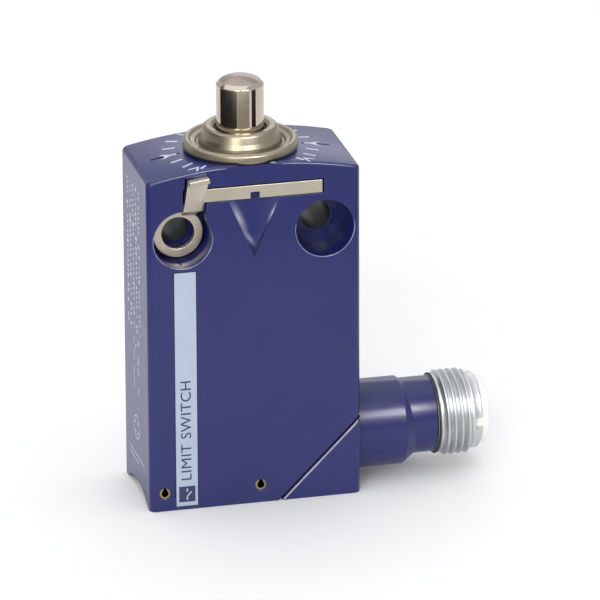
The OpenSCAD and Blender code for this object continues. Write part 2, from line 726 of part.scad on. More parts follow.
module carriage() color(white) difference() {
    union() {
        translate([0, 0, rod_bottom]) cylinder(h = rod_top - rod_bottom, r = rod_r);
        span([-carriage_half, -carriage_half, carriage_z], [carriage_half, carriage_half, carriage_top]);
    }
    // windows in which the bridges float
    for (window = [[upper_spring_z, upper_z + bridge_t + slide + apart], [lower_z - apart, lower_spring_z]])
        span([-carriage_half - cut, -bridge_half_y - 0.2, window[0]],
             [carriage_half + cut, bridge_half_y + 0.2, window[1]]);
}

// The springs that hold each bridge against its stop
module bridge_spring(z0, z1) color(steel) coil(0.8, 0.28, z0 + laid, z1 - laid, 4);
module bridge_spring_upper() bridge_spring(upper_spring_z, upper_z);
module bridge_spring_lower() bridge_spring(lower_z + bridge_t, lower_spring_z);

module return_spring() color(steel)
    coil(rod_r + 0.75, 0.5, cavity_z0 + laid, carriage_z - laid, 4);

module block_pad() color(rubber) difference() {
    span([-block_x + 1, -4, block_top + laid], [block_x - 1, 4, chamber_top - laid]);
    translate([0, 0, block_top - cut]) cylinder(h = body_h, r = rod_r + apart);
}

casing();
connector_housing();
joint_gasket();
roll_pin_left();
roll_pin_right();
label_strip();
retaining_clip();
head_housing();
head_o_ring();
plunger_bush();
wiper_seal();
plunger();
plunger_spring();
tail_cap();
connector_shell();
connector_o_ring();
connector_insert();
connector_pins();
wire_brown();
wire_white();
wire_blue();
wire_black();
switch_base();
switch_cover();
cover_screws();
fixed_contact_11();
fixed_contact_12();
fixed_contact_23();
fixed_contact_24();
carriage();
bridge_upper();
bridge_lower();
bridge_spring_upper();
bridge_spring_lower();
return_spring();
block_pad();
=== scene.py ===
import math

import bpy
import bmesh
from mathutils import Matrix, Vector


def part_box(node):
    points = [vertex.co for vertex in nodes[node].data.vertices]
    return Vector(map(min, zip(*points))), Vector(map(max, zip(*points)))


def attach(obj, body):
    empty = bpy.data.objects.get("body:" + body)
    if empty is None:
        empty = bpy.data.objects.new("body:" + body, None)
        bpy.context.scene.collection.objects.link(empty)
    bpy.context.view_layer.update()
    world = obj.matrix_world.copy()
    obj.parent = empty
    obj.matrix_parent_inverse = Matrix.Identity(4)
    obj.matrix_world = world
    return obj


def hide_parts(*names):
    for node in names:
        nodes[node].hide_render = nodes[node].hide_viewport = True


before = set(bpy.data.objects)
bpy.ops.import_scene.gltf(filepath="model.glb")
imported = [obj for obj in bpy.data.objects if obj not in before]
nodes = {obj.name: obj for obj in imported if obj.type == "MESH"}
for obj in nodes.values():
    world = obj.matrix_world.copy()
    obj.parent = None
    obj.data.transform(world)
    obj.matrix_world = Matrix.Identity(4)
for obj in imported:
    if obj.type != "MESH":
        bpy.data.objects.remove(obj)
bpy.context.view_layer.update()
mm = 0.001
print("frame loaded:", len(nodes), "CAD nodes")


cameraView = {
    "azimuth": -13.7,       # degrees round from the front, to the left
    "elevation": 21.0,
    "roll": -0.25,
    "distance": 1.0,        # metres from the point looked at
    "lens": 433,
    "target": (0.00834, 0.0, 0.02633),
}

studio = {
    "world": "#F3F5FA",
    "worldStrength": 0.8,
    "floor": "#F6F6F4",
    "lights": [
        # name, place (m), size (m), watts, colour
        ("overhead", (-0.10, 0.10, 1.00), (1.6, 1.4), 5.0, "#FFFFFF"),
        ("frontKey", (-0.55, -1.10, 0.55), (0.5, 0.7), 7.0, "#FFFBF4"),
        ("frontStrip", (0.26, -0.90, 0.74), (0.6, 0.34), 15.0, "#FFFFFF"),
        ("backGlow", (0.45, 1.15, 0.52), (0.7, 0.4), 1.1, "#FFFFFF"),
    ],
    "glossOnly": ["frontStrip"],        # these light nothing, and only show in shiny surfaces
    # low cards that only reflections show, on an arc round the object: name, first and last bearing
    # from the view's azimuth (degrees), distance, foot and head (m), finish
    "cards": [
        ("leftFlag", -106, -13, 0.10, 0.004, 0.035, "blackCard"),
        ("middleFlag", -12, 46, 0.098, 0.004, 0.035, "greyCard"),
        ("rightFlag", 56, 80, 0.10, 0.004, 0.035, "blackCard"),
        ("leftShade", -115, -50, 0.35, 0.10, 0.34, "blackCard"),
    ],
}


def hexToLinear(text):
    values = [int(text[i:i + 2], 16) / 255 for i in (1, 3, 5)]
    return [v / 12.92 if v <= 0.04045 else ((v + 0.055) / 1.055) ** 2.4 for v in values] + [1.0]


def placeCamera(view):
    azimuth, elevation = math.radians(view["azimuth"]), math.radians(view["elevation"])
    back = Vector((math.sin(azimuth) * math.cos(elevation),
                   -math.cos(azimuth) * math.cos(elevation), math.sin(elevation)))
    right = (-back).cross(Vector((0, 0, 1))).normalized()
    up = right.cross(-back)
    turn = Matrix((right, up, back)).transposed() @ Matrix.Rotation(math.radians(view["roll"]), 3, "Z")
    data = bpy.data.cameras.new("viewCamera")
    data.lens = view["lens"]
    data.clip_start = 0.05
    data.dof.use_dof = False
    camera = bpy.data.objects.new("viewCamera", data)
    place = Vector(view["target"]) + back * view["distance"]
    camera.matrix_world = Matrix.Translation(place) @ turn.to_4x4()
    bpy.context.collection.objects.link(camera)
    bpy.context.scene.camera = camera


def placeLights(lights):
    aim = Vector((0, 0, 0.03))
    for name, place, size, watts, colour in lights:
        data = bpy.data.lights.new(name, "AREA")
        data.shape = "RECTANGLE"
        data.size, data.size_y = size
        data.energy = watts
        data.color = hexToLinear(colour)[:3]
        lamp = bpy.data.objects.new(name, data)
        lamp.location = place
        lamp.visible_diffuse = name not in studio["glossOnly"]
        lamp.rotation_euler = (aim - Vector(place)).to_track_quat("-Z", "Y").to_euler()
        bpy.context.collection.objects.link(lamp)


placeCamera(cameraView)
placeLights(studio["lights"])
bpy.context.scene.view_settings.view_transform = "Standard"


def addNode(tree, kind, settings=None, links=None):
    node = tree.nodes.new(kind)
    for key, value in (settings or {}).items():
        if isinstance(key, int) or key in node.inputs:
            node.inputs[key].default_value = value
        else:
            setattr(node, key, value)
    for key, source in (links or {}).items():
        tree.links.new(source, node.inputs[key])
    return node


# colour and fleck are the two ends of the mottle; grain and blotch are real sizes in mm;
# bump is the relief's depth in mm, and stretch turns the grain into brushing along the axis with the
# lowest value
def makeFinish(name, colour, fleck, metallic=0.0, rough=0.4, spread=0.08, grain=0.5, bump=0.01,
               stretch=(1, 1, 1), blotch=6.0, fleckShare=0.5, coat=0.0, ior=1.5):
    material = bpy.data.materials.new(name)
    material.use_nodes = True
    tree = material.node_tree
    shader = tree.nodes["Principled BSDF"]
    shader.inputs["Metallic"].default_value = metallic
    shader.inputs["Coat Weight"].default_value = coat
    shader.inputs["Coat Roughness"].default_value = 0.12
    if not metallic:
        shader.inputs["IOR"].default_value = ior
    place = addNode(tree, "ShaderNodeTexCoord")
    turned = addNode(tree, "ShaderNodeMapping", {"Scale": stretch}, {"Vector": place.outputs["Object"]})
    fine = addNode(tree, "ShaderNodeTexNoise", {"Scale": 1 / (grain * mm), "Detail": 3.0},
                   {"Vector": turned.outputs["Vector"]})
    wide = addNode(tree, "ShaderNodeTexNoise", {"Scale": 1 / (blotch * mm), "Detail": 2.0},
                   {"Vector": place.outputs["Object"]})
    both = addNode(tree, "ShaderNodeMath", {"operation": "MULTIPLY_ADD", 1: 0.4},
                   {0: fine.outputs["Fac"], 2: wide.outputs["Fac"]})
    share = addNode(tree, "ShaderNodeMapRange", {"From Min": 0.45, "From Max": 0.95, "To Max": fleckShare},
                    {"Value": both.outputs["Value"]})
    tint = addNode(tree, "ShaderNodeMix", {
        "data_type": "RGBA", 6: hexToLinear(colour), 7: hexToLinear(fleck)}, {0: share.outputs["Result"]})
    gloss = addNode(tree, "ShaderNodeMapRange", {"To Min": rough - spread, "To Max": rough + spread},
                    {"Value": fine.outputs["Fac"]})
    relief = addNode(tree, "ShaderNodeBump", {"Strength": 0.6, "Distance": bump * mm},
                     {"Height": fine.outputs["Fac"]})
    tree.links.new(tint.outputs[2], shader.inputs["Base Color"])
    tree.links.new(gloss.outputs["Result"], shader.inputs["Roughness"])
    tree.links.new(relief.outputs["Normal"], shader.inputs["Normal"])
    return material


# stoved enamel on a zinc casting: even colour, a faint orange peel, a glossy skin
enamel = dict(colour="#1B205C", fleck="#232966", rough=0.3, spread=0.05, grain=0.9, bump=0.006, blotch=9,
              coat=0.1, fleckShare=0.6, ior=1.42)

finishes = {
    "paintedZinc": enamel,
    "highlightedEnamel": enamel,     # the same enamel, with highlights painted along the scoop's two edges further down
    # a highlight painted on the rounded edges of the enamel: a slightly paler line round each face
    "edgeHighlight": dict(colour="#1D2258", fleck="#3A3D72", rough=0.3, spread=0.08, grain=0.5, bump=0.01,
                        blotch=4, coat=0.1, fleckShare=0.5, ior=1.42),
    # painted highlight on the lower arc of each counterbore's rim: patches of a paler blue
    "rimHighlight": dict(colour="#2C2F6C", fleck="#9C9CBC", rough=0.35, spread=0.08, grain=0.6, bump=0.01,
                      blotch=2.5, fleckShare=1.0),
    # a highlight painted on the joint's lower lip: a light line along the joint
    "jointHighlight": dict(colour="#B4B2C0", fleck="#7C7C9E", rough=0.4, spread=0.08, grain=0.4, bump=0.01,
                     blotch=3, fleckShare=0.8),
    # zinc as cast, with no paint, inside the fixing holes: dull, and painted near black as the holes' shade
    "bareCastingPaintedShade": dict(colour="#34383A", fleck="#24282A", metallic=1.0, rough=0.5, grain=0.3, bump=0.01),
    # nitrile rubber, moulded: dull and near black
    "blackRubber": dict(colour="#101012", fleck="#232326", rough=0.62, grain=0.35, bump=0.01, blotch=3),
    # drawn music wire: bright with fine lines
    "springSteel": dict(colour="#B9B4AA", fleck="#8E8A82", metallic=1.0, rough=0.28, grain=0.15, bump=0.003),
    # brass-plated roll pin: dull and tarnished
    "platedPin": dict(colour="#A09272", fleck="#6A5C42", metallic=1.0, rough=0.36, grain=0.2, bump=0.006),
    # polyester label film: a pale blue satin face
    "labelFilm": dict(colour="#A0ADC1", fleck="#B2BECF", rough=0.38, spread=0.04, grain=0.8, bump=0.002,
                      blotch=8, coat=0.2),
    # printing ink on the label: flat dark blue
    "labelInk": dict(colour="#232457", fleck="#2C2E66", rough=0.5, grain=0.3, bump=0.001),
    # white pad-printed ink on the enamel: thin enough for the blue to grey it
    "printInk": dict(colour="#C9CCDD", fleck="#A3A6C2", rough=0.5, grain=0.3, bump=0.001, blotch=2),
    # stamped stainless sheet, mill finish along X: soft streaks
    "stainlessSteel": dict(colour="#CDC5B7", fleck="#AEA696", metallic=1.0, rough=0.38, grain=0.25,
                           bump=0.003, stretch=(0.15, 1, 1), blotch=5),
    # turned zinc with a dull nickel plate: warm grey, faint turning marks
    "nickelZinc": dict(colour="#9A927F", fleck="#726B5C", metallic=1.0, rough=0.34, spread=0.1, grain=0.22,
                       bump=0.004, stretch=(0.4, 0.4, 1.6), blotch=4),
    # pressed and sintered bronze, full of oil: brown, matt and slightly grainy
    "sinteredBronze": dict(colour="#9A7142", fleck="#6C4A28", metallic=1.0, rough=0.5, grain=0.12,
                           bump=0.012),
    # ground and polished hardened steel: clear reflections, drawn out along the plunger
    "polishedSteel": dict(colour="#C6BAAC", fleck="#B4A99C", metallic=1.0, rough=0.08, spread=0.02,
                          grain=0.4, bump=0.0006, stretch=(1, 1, 0.1), blotch=7),
    # the plunger's domed end, left as ground: satin, its circular marks too fine to draw
    "groundSteel": dict(colour="#A1968E", fleck="#82776F", metallic=1.0, rough=0.3, spread=0.06, grain=0.3,
                        bump=0.002, blotch=5),
    # turned zinc alloy with a passivated skin: pale grey with a dulled shine
    "zincShell": dict(colour="#D0D2D3", fleck="#A0A5A7", metallic=1.0, rough=0.4, spread=0.1, grain=0.3,
                      bump=0.006, blotch=3),
    # moulded polyamide: soft white, faintly uneven
    "whitePlastic": dict(colour="#EDEDE8", fleck="#E2E2DC", rough=0.42, grain=0.5, bump=0.003),
    # gold flash on brass pins: smooth and warm
    "goldPlate": dict(colour="#D9B25A", fleck="#C49A44", metallic=1.0, rough=0.22, grain=0.3, bump=0.001),
    # extruded PVC sleeves on the wires: even, slightly waxy colours
    "brownPvc": dict(colour="#5A3420", fleck="#6B402A", rough=0.45, grain=0.4, bump=0.004),
    "whitePvc": dict(colour="#E8E8E4", fleck="#D9D9D4", rough=0.45, grain=0.4, bump=0.004),
    "bluePvc": dict(colour="#2348A8", fleck="#2E55B8", rough=0.45, grain=0.4, bump=0.004),
    "blackPvc": dict(colour="#161618", fleck="#232326", rough=0.45, grain=0.4, bump=0.004),
    # glass-filled polyester mouldings of the switch block: matt
    "greyPlastic": dict(colour="#4A4C50", fleck="#55585C", rough=0.5, grain=0.25, bump=0.006),
    "redPlastic": dict(colour="#8E2A20", fleck="#A03428", rough=0.45, grain=0.25, bump=0.006),
    # stamped brass strip: yellow, lightly brushed
    "contactBrass": dict(colour="#C8A050", fleck="#A8823C", metallic=1.0, rough=0.3, grain=0.3, bump=0.002),
    # painted studio floor and paper cards: plain and matt, with no shine of their own
    "studioFloor": dict(colour=studio["floor"], fleck="#EEEEEC", rough=0.7, grain=4, bump=0.02, blotch=60),
    "blackCard": dict(colour="#050506", fleck="#0A0A0C", rough=0.9, grain=4, bump=0.0),
    "greyCard": dict(colour="#A8A198", fleck="#B2ABA2", rough=0.9, grain=4, bump=0.0),
}
materials = {name: makeFinish(name, **finish) for name, finish in finishes.items()}
print("materials made:", len(materials))


def placeStage(values):
    world = bpy.data.worlds.new("studioWorld")
    bpy.context.scene.world = world
    world.use_nodes = True
    sky = world.node_tree.nodes["Background"]
    sky.inputs["Color"].default_value = hexToLinear(values["world"])
    sky.inputs["Strength"].default_value = values["worldStrength"]
    floor = gridPlane("floor", 3.0, 3.0)
    useMaterial(floor, "studioFloor")
    for name, first, last, reach, foot, top, finish in values["cards"]:
        steps = 12              # flat panels in each curved card
        turns = [math.radians(cameraView["azimuth"] + first + (last - first) * k / steps)
                 for k in range(steps + 1)]
        ring = [(math.sin(t) * reach, -math.cos(t) * reach) for t in turns]
        points = [(x, y, z) for z in (foot, top) for x, y in ring]
        card = meshFrom(name, points, [(k, k + 1, k + steps + 2, k + steps + 1) for k in range(steps)])
        card.visible_camera = False
        card.visible_diffuse = False
        card.visible_shadow = False
        useMaterial(card, finish)


def newObject(name, mesh):
    piece = bpy.data.objects.new(name, mesh)
    bpy.context.collection.objects.link(piece)
    return piece


def meshFrom(name, points, faces, smooth=True):
    mesh = bpy.data.meshes.new(name)
    mesh.from_pydata([tuple(p) for p in points], [], faces)
    mesh.validate()
    if smooth:
        mesh.shade_smooth()
    else:
        mesh.shade_flat()
    return newObject(name, mesh)


def gridPlane(name, width, height):
    w, h = width / 2, height / 2
    return meshFrom(name, [(-w, -h, 0), (w, -h, 0), (w, h, 0), (-w, h, 0)], [(0, 1, 2, 3)], False)


# Fills the material slots in order, leaving each face on the slot it has
def useMaterial(piece, *names):
    slots = piece.data.materials
    while len(slots) > len(names):
        slots.pop()
    for i, name in enumerate(names):
        if i < len(slots):
            slots[i] = materials[name]
        else:
            slots.append(materials[name])


def applyModifiers(piece):
    shapes = bpy.context.evaluated_depsgraph_get()
    shapes.update()
    mesh = bpy.data.meshes.new_from_object(piece.evaluated_get(shapes))
    piece.modifiers.clear()
    old = piece.data
    piece.data = mesh
    bpy.data.meshes.remove(old)


# Edges steeper than this stay sharp, and so does an edge without a round on a flat front or back
def sharpenAngles(piece, degrees, edgeMaterial=-1):
    work = bmesh.new()
    work.from_mesh(piece.data)
    for edge in work.edges:
        edge.smooth = edge.is_manifold and edge.calc_face_angle(0) < math.radians(degrees)
        if edge.smooth and edgeMaterial > 0:
            first, second = edge.link_faces
            plain = first.material_index != edgeMaterial and second.material_index != edgeMaterial
            oneFlat = (abs(first.normal.y) > 0.9999) != (abs(second.normal.y) > 0.9999)
            edge.smooth = not (plain and oneFlat)
    for face in work.faces:
        face.smooth = True
    work.to_mesh(piece.data)
    work.free()


# A copy of a CAD node with the sharp edges of its outer skin rounded by width mm. cuts are planes through
# its holes, (axis, mm), so that no flat face is left with a hole in it. onSkin and wide test the middle
# point of an edge
def softenedCopy(node, name, width, segments=2, cuts=(), onSkin=None, wide=None, wideRatio=1.0,
                 edgeMaterial=-1):
    mesh = nodes[node].data.copy()
    piece = newObject(name, mesh)
    work = bmesh.new()
    work.from_mesh(mesh)
    bmesh.ops.remove_doubles(work, verts=work.verts, dist=0.002 * mm)
    for axis, place in cuts:
        normal = Vector([float(k == axis) for k in range(3)])
        everything = work.verts[:] + work.edges[:] + work.faces[:]
        made = bmesh.ops.bisect_plane(work, geom=everything, dist=0.0005 * mm,
                                      plane_co=normal * place * mm, plane_no=normal)
        for part in made["geom_cut"]:
            if isinstance(part, bmesh.types.BMEdge):
                part.seam = True
    bmesh.ops.dissolve_limit(work, angle_limit=math.radians(0.03), verts=work.verts, edges=work.edges,
                             delimit={"SEAM"})
    weights = work.edges.layers.float.new("bevel_weight_edge")
    for edge in work.edges:
        edge.seam = False
        middle = (edge.verts[0].co + edge.verts[1].co) / 2 / mm
        turning = math.degrees(edge.calc_face_angle(0)) if edge.is_manifold else 0
        if turning > 24 and (onSkin is None or onSkin(middle)):
            edge[weights] = 1.0 if wide and wide(middle) else 1.0 / wideRatio
    work.to_mesh(mesh)
    work.free()
    while len(mesh.materials) <= edgeMaterial:
        mesh.materials.append(None)
    bevel = piece.modifiers.new("roundEdges", "BEVEL")
    bevel.width = width * wideRatio * mm
    bevel.segments = segments
    bevel.limit_method = "WEIGHT"
    bevel.use_clamp_overlap = False
    bevel.loop_slide = False
    bevel.miter_outer = "MITER_ARC"
    bevel.material = edgeMaterial
    applyModifiers(piece)
    cleanMesh(piece, 0.002)
    sharpenAngles(piece, 38, edgeMaterial)
    keepFlat(piece, edgeMaterial)
    return piece


# Large flat faces keep their own direction, and the rounds beside them carry all the turning
def keepFlat(piece, edgeMaterial):
    mesh = piece.data
    normals = [corner.vector.copy() for corner in mesh.corner_normals]
    flats = {}
    for face in mesh.polygons:
        if max(abs(n) for n in face.normal) > 0.9999 and face.area > 0.3 * mm * mm:
            for corner in face.vertices:
                flats.setdefault(corner, []).append(face.normal.copy())
    for face in mesh.polygons:
        isRound = edgeMaterial < 0 or face.material_index == edgeMaterial
        reach = math.radians(38 if isRound else 0.5)
        for loop, corner in zip(face.loop_indices, face.vertices):
            near = [n for n in flats.get(corner, []) if n.angle(face.normal) < reach]
            if near:
                normals[loop] = min(near, key=lambda n: n.angle(face.normal))
    mesh.normals_split_custom_set(normals)


def faceUp(piece, direction):
    work = bmesh.new()
    work.from_mesh(piece.data)
    for face in work.faces:
        face.normal_update()
        if face.normal.dot(direction) < 0:
            face.normal_flip()
    work.to_mesh(piece.data)
    work.free()


# Gives flat print the thickness of ink, down into the surface it lies on, so that it is a closed solid
def thicken(piece, depth=0.012):
    skin = piece.modifiers.new("thicken", "SOLIDIFY")
    skin.thickness = depth * mm
    skin.offset = -1.0
    applyModifiers(piece)


def finishPiece(piece, body, slot, *replaced):
    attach(piece, body)
    if replaced:
        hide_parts(*replaced)


# A polyline in (radius, height), in mm, with each corner rounded: points are (r, h, round)
def roundedProfile(points, steps=5):
    line = []
    for i, (r, h, bend) in enumerate(points):
        here = Vector((r, h))
        if bend <= 0 or i in (0, len(points) - 1):
            line.append(here)
            continue
        before = Vector(points[i - 1][:2]) - here
        after = Vector(points[i + 1][:2]) - here
        half = before.angle(after) / 2
        reach = min(bend / math.tan(half), before.length * 0.49, after.length * 0.49)
        start, end = here + before.normalized() * reach, here + after.normalized() * reach
        for k in range(steps + 1):
            t = k / steps
            line.append(start * (1 - t) ** 2 + here * 2 * t * (1 - t) + end * t ** 2)
    return line


# A closed ring or a capped solid turned about an axis through centre
def turned(name, points, segments=96, centre=(0, 0, 0), along="Z", closed=False, steps=5):
    line = roundedProfile(points + points[:1], steps)[:-1] if closed else roundedProfile(points, steps)
    verts, faces = [], []
    rows = len(line)
    for k in range(segments):
        a = 2 * math.pi * k / segments
        for r, h in line:
            if along == "Z":
                place = Vector((r * math.cos(a), r * math.sin(a), h))
            else:
                place = Vector((h, r * math.cos(a), r * math.sin(a)))
            verts.append((place + Vector(centre)) * mm)
    spans = rows if closed else rows - 1
    for k in range(segments):
        n = (k + 1) % segments
        for i in range(spans):
            j = (i + 1) % rows
            faces.append((k * rows + i, n * rows + i, n * rows + j, k * rows + j))
    piece = meshFrom(name, verts, faces)
    work = bmesh.new()
    work.from_mesh(piece.data)
    bmesh.ops.remove_doubles(work, verts=work.verts, dist=0.0005 * mm)
    bmesh.ops.recalc_face_normals(work, faces=work.faces)
    work.to_mesh(piece.data)
    work.free()
    sharpenAngles(piece, 50)
    return piece


placeStage(studio)
print("camera, lights and floor set")


def newTree(name, sizes):
    tree = bpy.data.node_groups.new(name, "GeometryNodeTree")
    for label, value in sizes.items():
        kind = "NodeSocketInt" if isinstance(value, int) else "NodeSocketFloat"
        if isinstance(value, bpy.types.Object):
            kind = "NodeSocketObject"
        socket = tree.interface.new_socket(label, in_out="INPUT", socket_type=kind)
        if kind != "NodeSocketObject":
            socket.default_value = value
    tree.interface.new_socket("Geometry", in_out="OUTPUT", socket_type="NodeSocketGeometry")
    return tree, addNode(tree, "NodeGroupInput").outputs, addNode(tree, "NodeGroupOutput").inputs


# Ends a tree in Realize Instances and Set Material, runs it, and returns a plain mesh piece
def growPiece(name, tree, output, geometry, material, sizes):
    real = addNode(tree, "GeometryNodeRealizeInstances", None, {"Geometry": geometry})
    coated = addNode(tree, "GeometryNodeSetMaterial", {"Material": materials[material]},
                     {"Geometry": real.outputs["Geometry"]})
    tree.links.new(coated.outputs["Geometry"], output[0])
    piece = newObject(name, bpy.data.meshes.new(name))
    grower = piece.modifiers.new("grow", "NODES")
    grower.node_group = tree
    for socket in tree.interface.items_tree:
        if socket.in_out == "INPUT":
            grower[socket.identifier] = sizes[socket.name]
    applyModifiers(piece)
    useMaterial(piece, material)
    return piece


def cleanMesh(piece, dist=0.001):
    work = bmesh.new()
    work.from_mesh(piece.data)
    bmesh.ops.remove_doubles(work, verts=work.verts, dist=dist * mm)
    bmesh.ops.dissolve_degenerate(work, dist=0.0002 * mm, edges=work.edges)
    bmesh.ops.recalc_face_normals(work, faces=work.faces)
    work.to_mesh(piece.data)
    work.free()


def joinPieces(name, *parts):
    work = bmesh.new()
    used = []
    for part in parts:
        start = len(work.faces)
        work.from_mesh(part.data)
        work.faces.ensure_lookup_table()
        for face in work.faces[start:]:
            skin = part.data.materials[face.material_index] if part.data.materials else None
            if skin not in used:
                used.append(skin)
            face.material_index = used.index(skin)
    mesh = bpy.data.meshes.new(name)
    work.to_mesh(mesh)
    work.free()
    for skin in used:
        mesh.materials.append(skin)
    for part in parts:
        bpy.data.objects.remove(part)
    return newObject(name, mesh)


casting = {
    "height": 50.0,         # to the crown of the top, mm
    "crownRise": 1.7,
    "edge": 0.13,           # round on the castings' edges
    "topEdge": 0.45,       # wider round along the crowned top
    "seat": 8.6,            # edges this near the head's axis stay sharp, under the flange
    "rim": 4.35,            # a counterbore's rim and its painted highlight lie inside this radius
    "inkRoom": 0.015,       # the left face is drawn in by this, to leave room for its print
    "jointEdge": 0.2,       # wider round along the joint's lower lip, which carries the painted highlight
    "shadedBareMetal": 2.3,       # inside this radius of a fixing hole the metal has no paint and is painted dark as shade
    "nearSide": 0.95,       # how close to a side, a front or back face and the crown a point counts as on it
    "nearFace": 0.05,
    "nearCrown": 0.03,
    "topZone": 45,          # the crowned top and all that is cut in it lie above this
    "scoop": (5.2, 36.2, 44.8),         # half width, foot and top of the area the scoop is cut in
    # painted highlights, pale streaks in the scoop: middle x and z, lean (degrees), half length and half
    # width (mm), strength
    "highlightStreaks": [(-2.15, 42.3, -24, 3.9, 0.95, 0.75), (-0.75, 39.2, -36, 2.6, 0.6, 0.5),
                (2.7, 42.7, 25, 2.4, 0.5, 0.9)],
    # colour of the painted highlights
    "highlightColour": "#B9B9CE",
}
casingLow, casingHigh = (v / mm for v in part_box("casing"))
crownRadius = (casingHigh.x ** 2 + casting["crownRise"] ** 2) / (2 * casting["crownRise"])
fixing = {"x": 10.0, "z": 39.7}


def crownHeight(x):
    return casting["height"] - crownRadius + math.sqrt(crownRadius ** 2 - min(abs(x), casingHigh.x) ** 2)


def onCasingSkin(p):
    half, foot, top = casting["scoop"]
    onTop = p.z > casting["topZone"]
    nearSeat = onTop and math.hypot(p.x, p.y) < casting["seat"]
    onScoop = abs(p.x) < half and foot < p.z < top
    onIndexLine = onTop and abs(p.y) < 0.6 and abs(p.x) < casingHigh.x - 0.5
    if nearSeat or onIndexLine or onScoop:
        return False
    return onOutline(p) or p.z < 0.05 or onCrown(p)


def onOutline(p):
    return abs(p.x) > casingHigh.x - casting["nearSide"] or abs(p.y) > casingHigh.y - casting["nearFace"]


def onCrown(p):
    return p.z > crownHeight(p.x) - casting["nearCrown"]


def onCrownEdge(p):
    return onCrown(p) and onOutline(p)


def inScoop(p):
    half, foot, top = casting["scoop"]
    return casingLow.y + 0.004 < p.y < casingLow.y + 4 and abs(p.x) < half and foot < p.z < top + 0.15


# The lower arc of a counterbore's rim, where its highlight is painted
def onLowerRim(p):
    fromHole = math.hypot(abs(p.x) - fixing["x"], p.z - fixing["z"])
    return p.y < casingLow.y + 0.3 and p.z < fixing["z"] + 0.8 and fromHole < casting["rim"]


def onJointEdge(p):
    return p.y < casingLow.y + 0.3 and p.x < casingHigh.x - 0.25 and p.z > 0.25


# Paints soft spindle-shaped highlights, pale patches, into an enamel, in object space so that they stay on
# the casting
def paintHighlightStreaks(name, highlightStreaks):
    tree = materials[name].node_tree
    shader = tree.nodes["Principled BSDF"]
    place = addNode(tree, "ShaderNodeTexCoord")
    colour = shader.inputs["Base Color"].links[0].from_socket
    highlightColour = hexToLinear(casting["highlightColour"])
    for x, z, lean, length, width, strength in highlightStreaks:
        fitted = addNode(tree, "ShaderNodeMapping", {
            "vector_type": "TEXTURE", "Location": (x * mm, casingLow.y * mm, z * mm),
            "Rotation": (0, math.radians(lean), 0), "Scale": (width * mm, 0.02, length * mm)},
            {"Vector": place.outputs["Object"]})
        patch = addNode(tree, "ShaderNodeTexGradient", {"gradient_type": "QUADRATIC_SPHERE"},
                        {"Vector": fitted.outputs["Vector"]})
        amount = addNode(tree, "ShaderNodeMath", {"operation": "MULTIPLY", 1: strength},
                         {0: patch.outputs["Fac"]})
        blend = addNode(tree, "ShaderNodeMix", {"data_type": "RGBA", 7: highlightColour},
                        {0: amount.outputs["Value"], 6: colour})
        colour = blend.outputs[2]
    tree.links.new(colour, shader.inputs["Base Color"])


def buildCastings(values):
    ratio = values["topEdge"] / values["edge"]
    low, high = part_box("roll_pin_left")
    cuts = [(0, 0.0), (1, 0.0), (2, fixing["z"]), (2, 46.0), (2, (low.z + high.z) / 2 / mm)]
    casing = softenedCopy("casing", "enamelledCasing", values["edge"], 3, cuts, onCasingSkin, onCrownEdge,
                          ratio, 1)
    # paints the highlight streaks into the scoop's enamel
    paintHighlightStreaks("highlightedEnamel", values["highlightStreaks"])
    # slots: enamel, painted edge highlight, bare metal with painted shade, enamel with painted highlights,
    # painted rim highlight
    useMaterial(casing, "paintedZinc", "edgeHighlight", "bareCastingPaintedShade", "highlightedEnamel", "rimHighlight")
    for corner in casing.data.vertices:
        corner.co.y = min(max(corner.co.y, casingLow.y * mm), casingHigh.y * mm)
        corner.co.z = max(corner.co.z, 0.0)
        if corner.co.x < (casingLow.x + 0.002) * mm:
            corner.co.x += values["inkRoom"] * mm
    for face in casing.data.polygons:
        corners = [casing.data.vertices[v].co / mm for v in face.vertices]
        # faces inside a fixing hole take the bare metal, painted dark as shade
        if all(math.hypot(abs(p.x) - fixing["x"], p.z - fixing["z"]) < values["shadedBareMetal"] for p in corners):
            face.material_index = 2
        # the scoop's faces take the enamel with the painted highlights
        elif inScoop(face.center / mm):
            face.material_index = 3
        elif max(abs(n) for n in face.normal) > 0.99:
            face.material_index = 0
        # the lower arcs of the counterbore rims take the painted highlight
        elif face.material_index == 1 and onLowerRim(face.center / mm):
            face.material_index = 4
    finishPiece(casing, "body", "painted_zinc", "casing")
    housing = softenedCopy("connector_housing", "enamelledHousing", values["edge"], 3, [(1, 0.0)],
                           onCasingSkin, onJointEdge, values["jointEdge"] / values["edge"], 1)
    # slots: enamel, painted edge highlight, painted joint highlight
    useMaterial(housing, "paintedZinc", "edgeHighlight", "jointHighlight")
    for face in housing.data.polygons:
        # the rounded lower lip of the joint takes the painted highlight
        if face.material_index == 1 and onJointEdge(face.center / mm) and abs(face.normal.y) < 0.99:
            face.material_index = 2
    finishPiece(housing, "body", "painted_zinc", "connector_housing")


buildCastings(casting)
print("castings done")


head = {
    "bore": 3.9, "mouth": 3.65, "tail": 4.5, "groove": 4.6, "spigot": 5.75, "flange": 8.0,
    "bossTop": 5.1, "tailZ": 36.5, "spigotZ": 44.0, "clipZ": (45.075, 46.675), "ringZ": (47.6, 48.4),
    "seat": 49.79, "rim": 1.4, "top": 53.05, "lip": 0.6,
}
plunger = {
    "radius": 3.3, "stem": 1.5, "collar": 3.8, "stemZ": 34.14, "collarZ": (45.87, 47.07),
    "shoulder": 58.9, "bevel": 0.5, "end": 60.15,
}


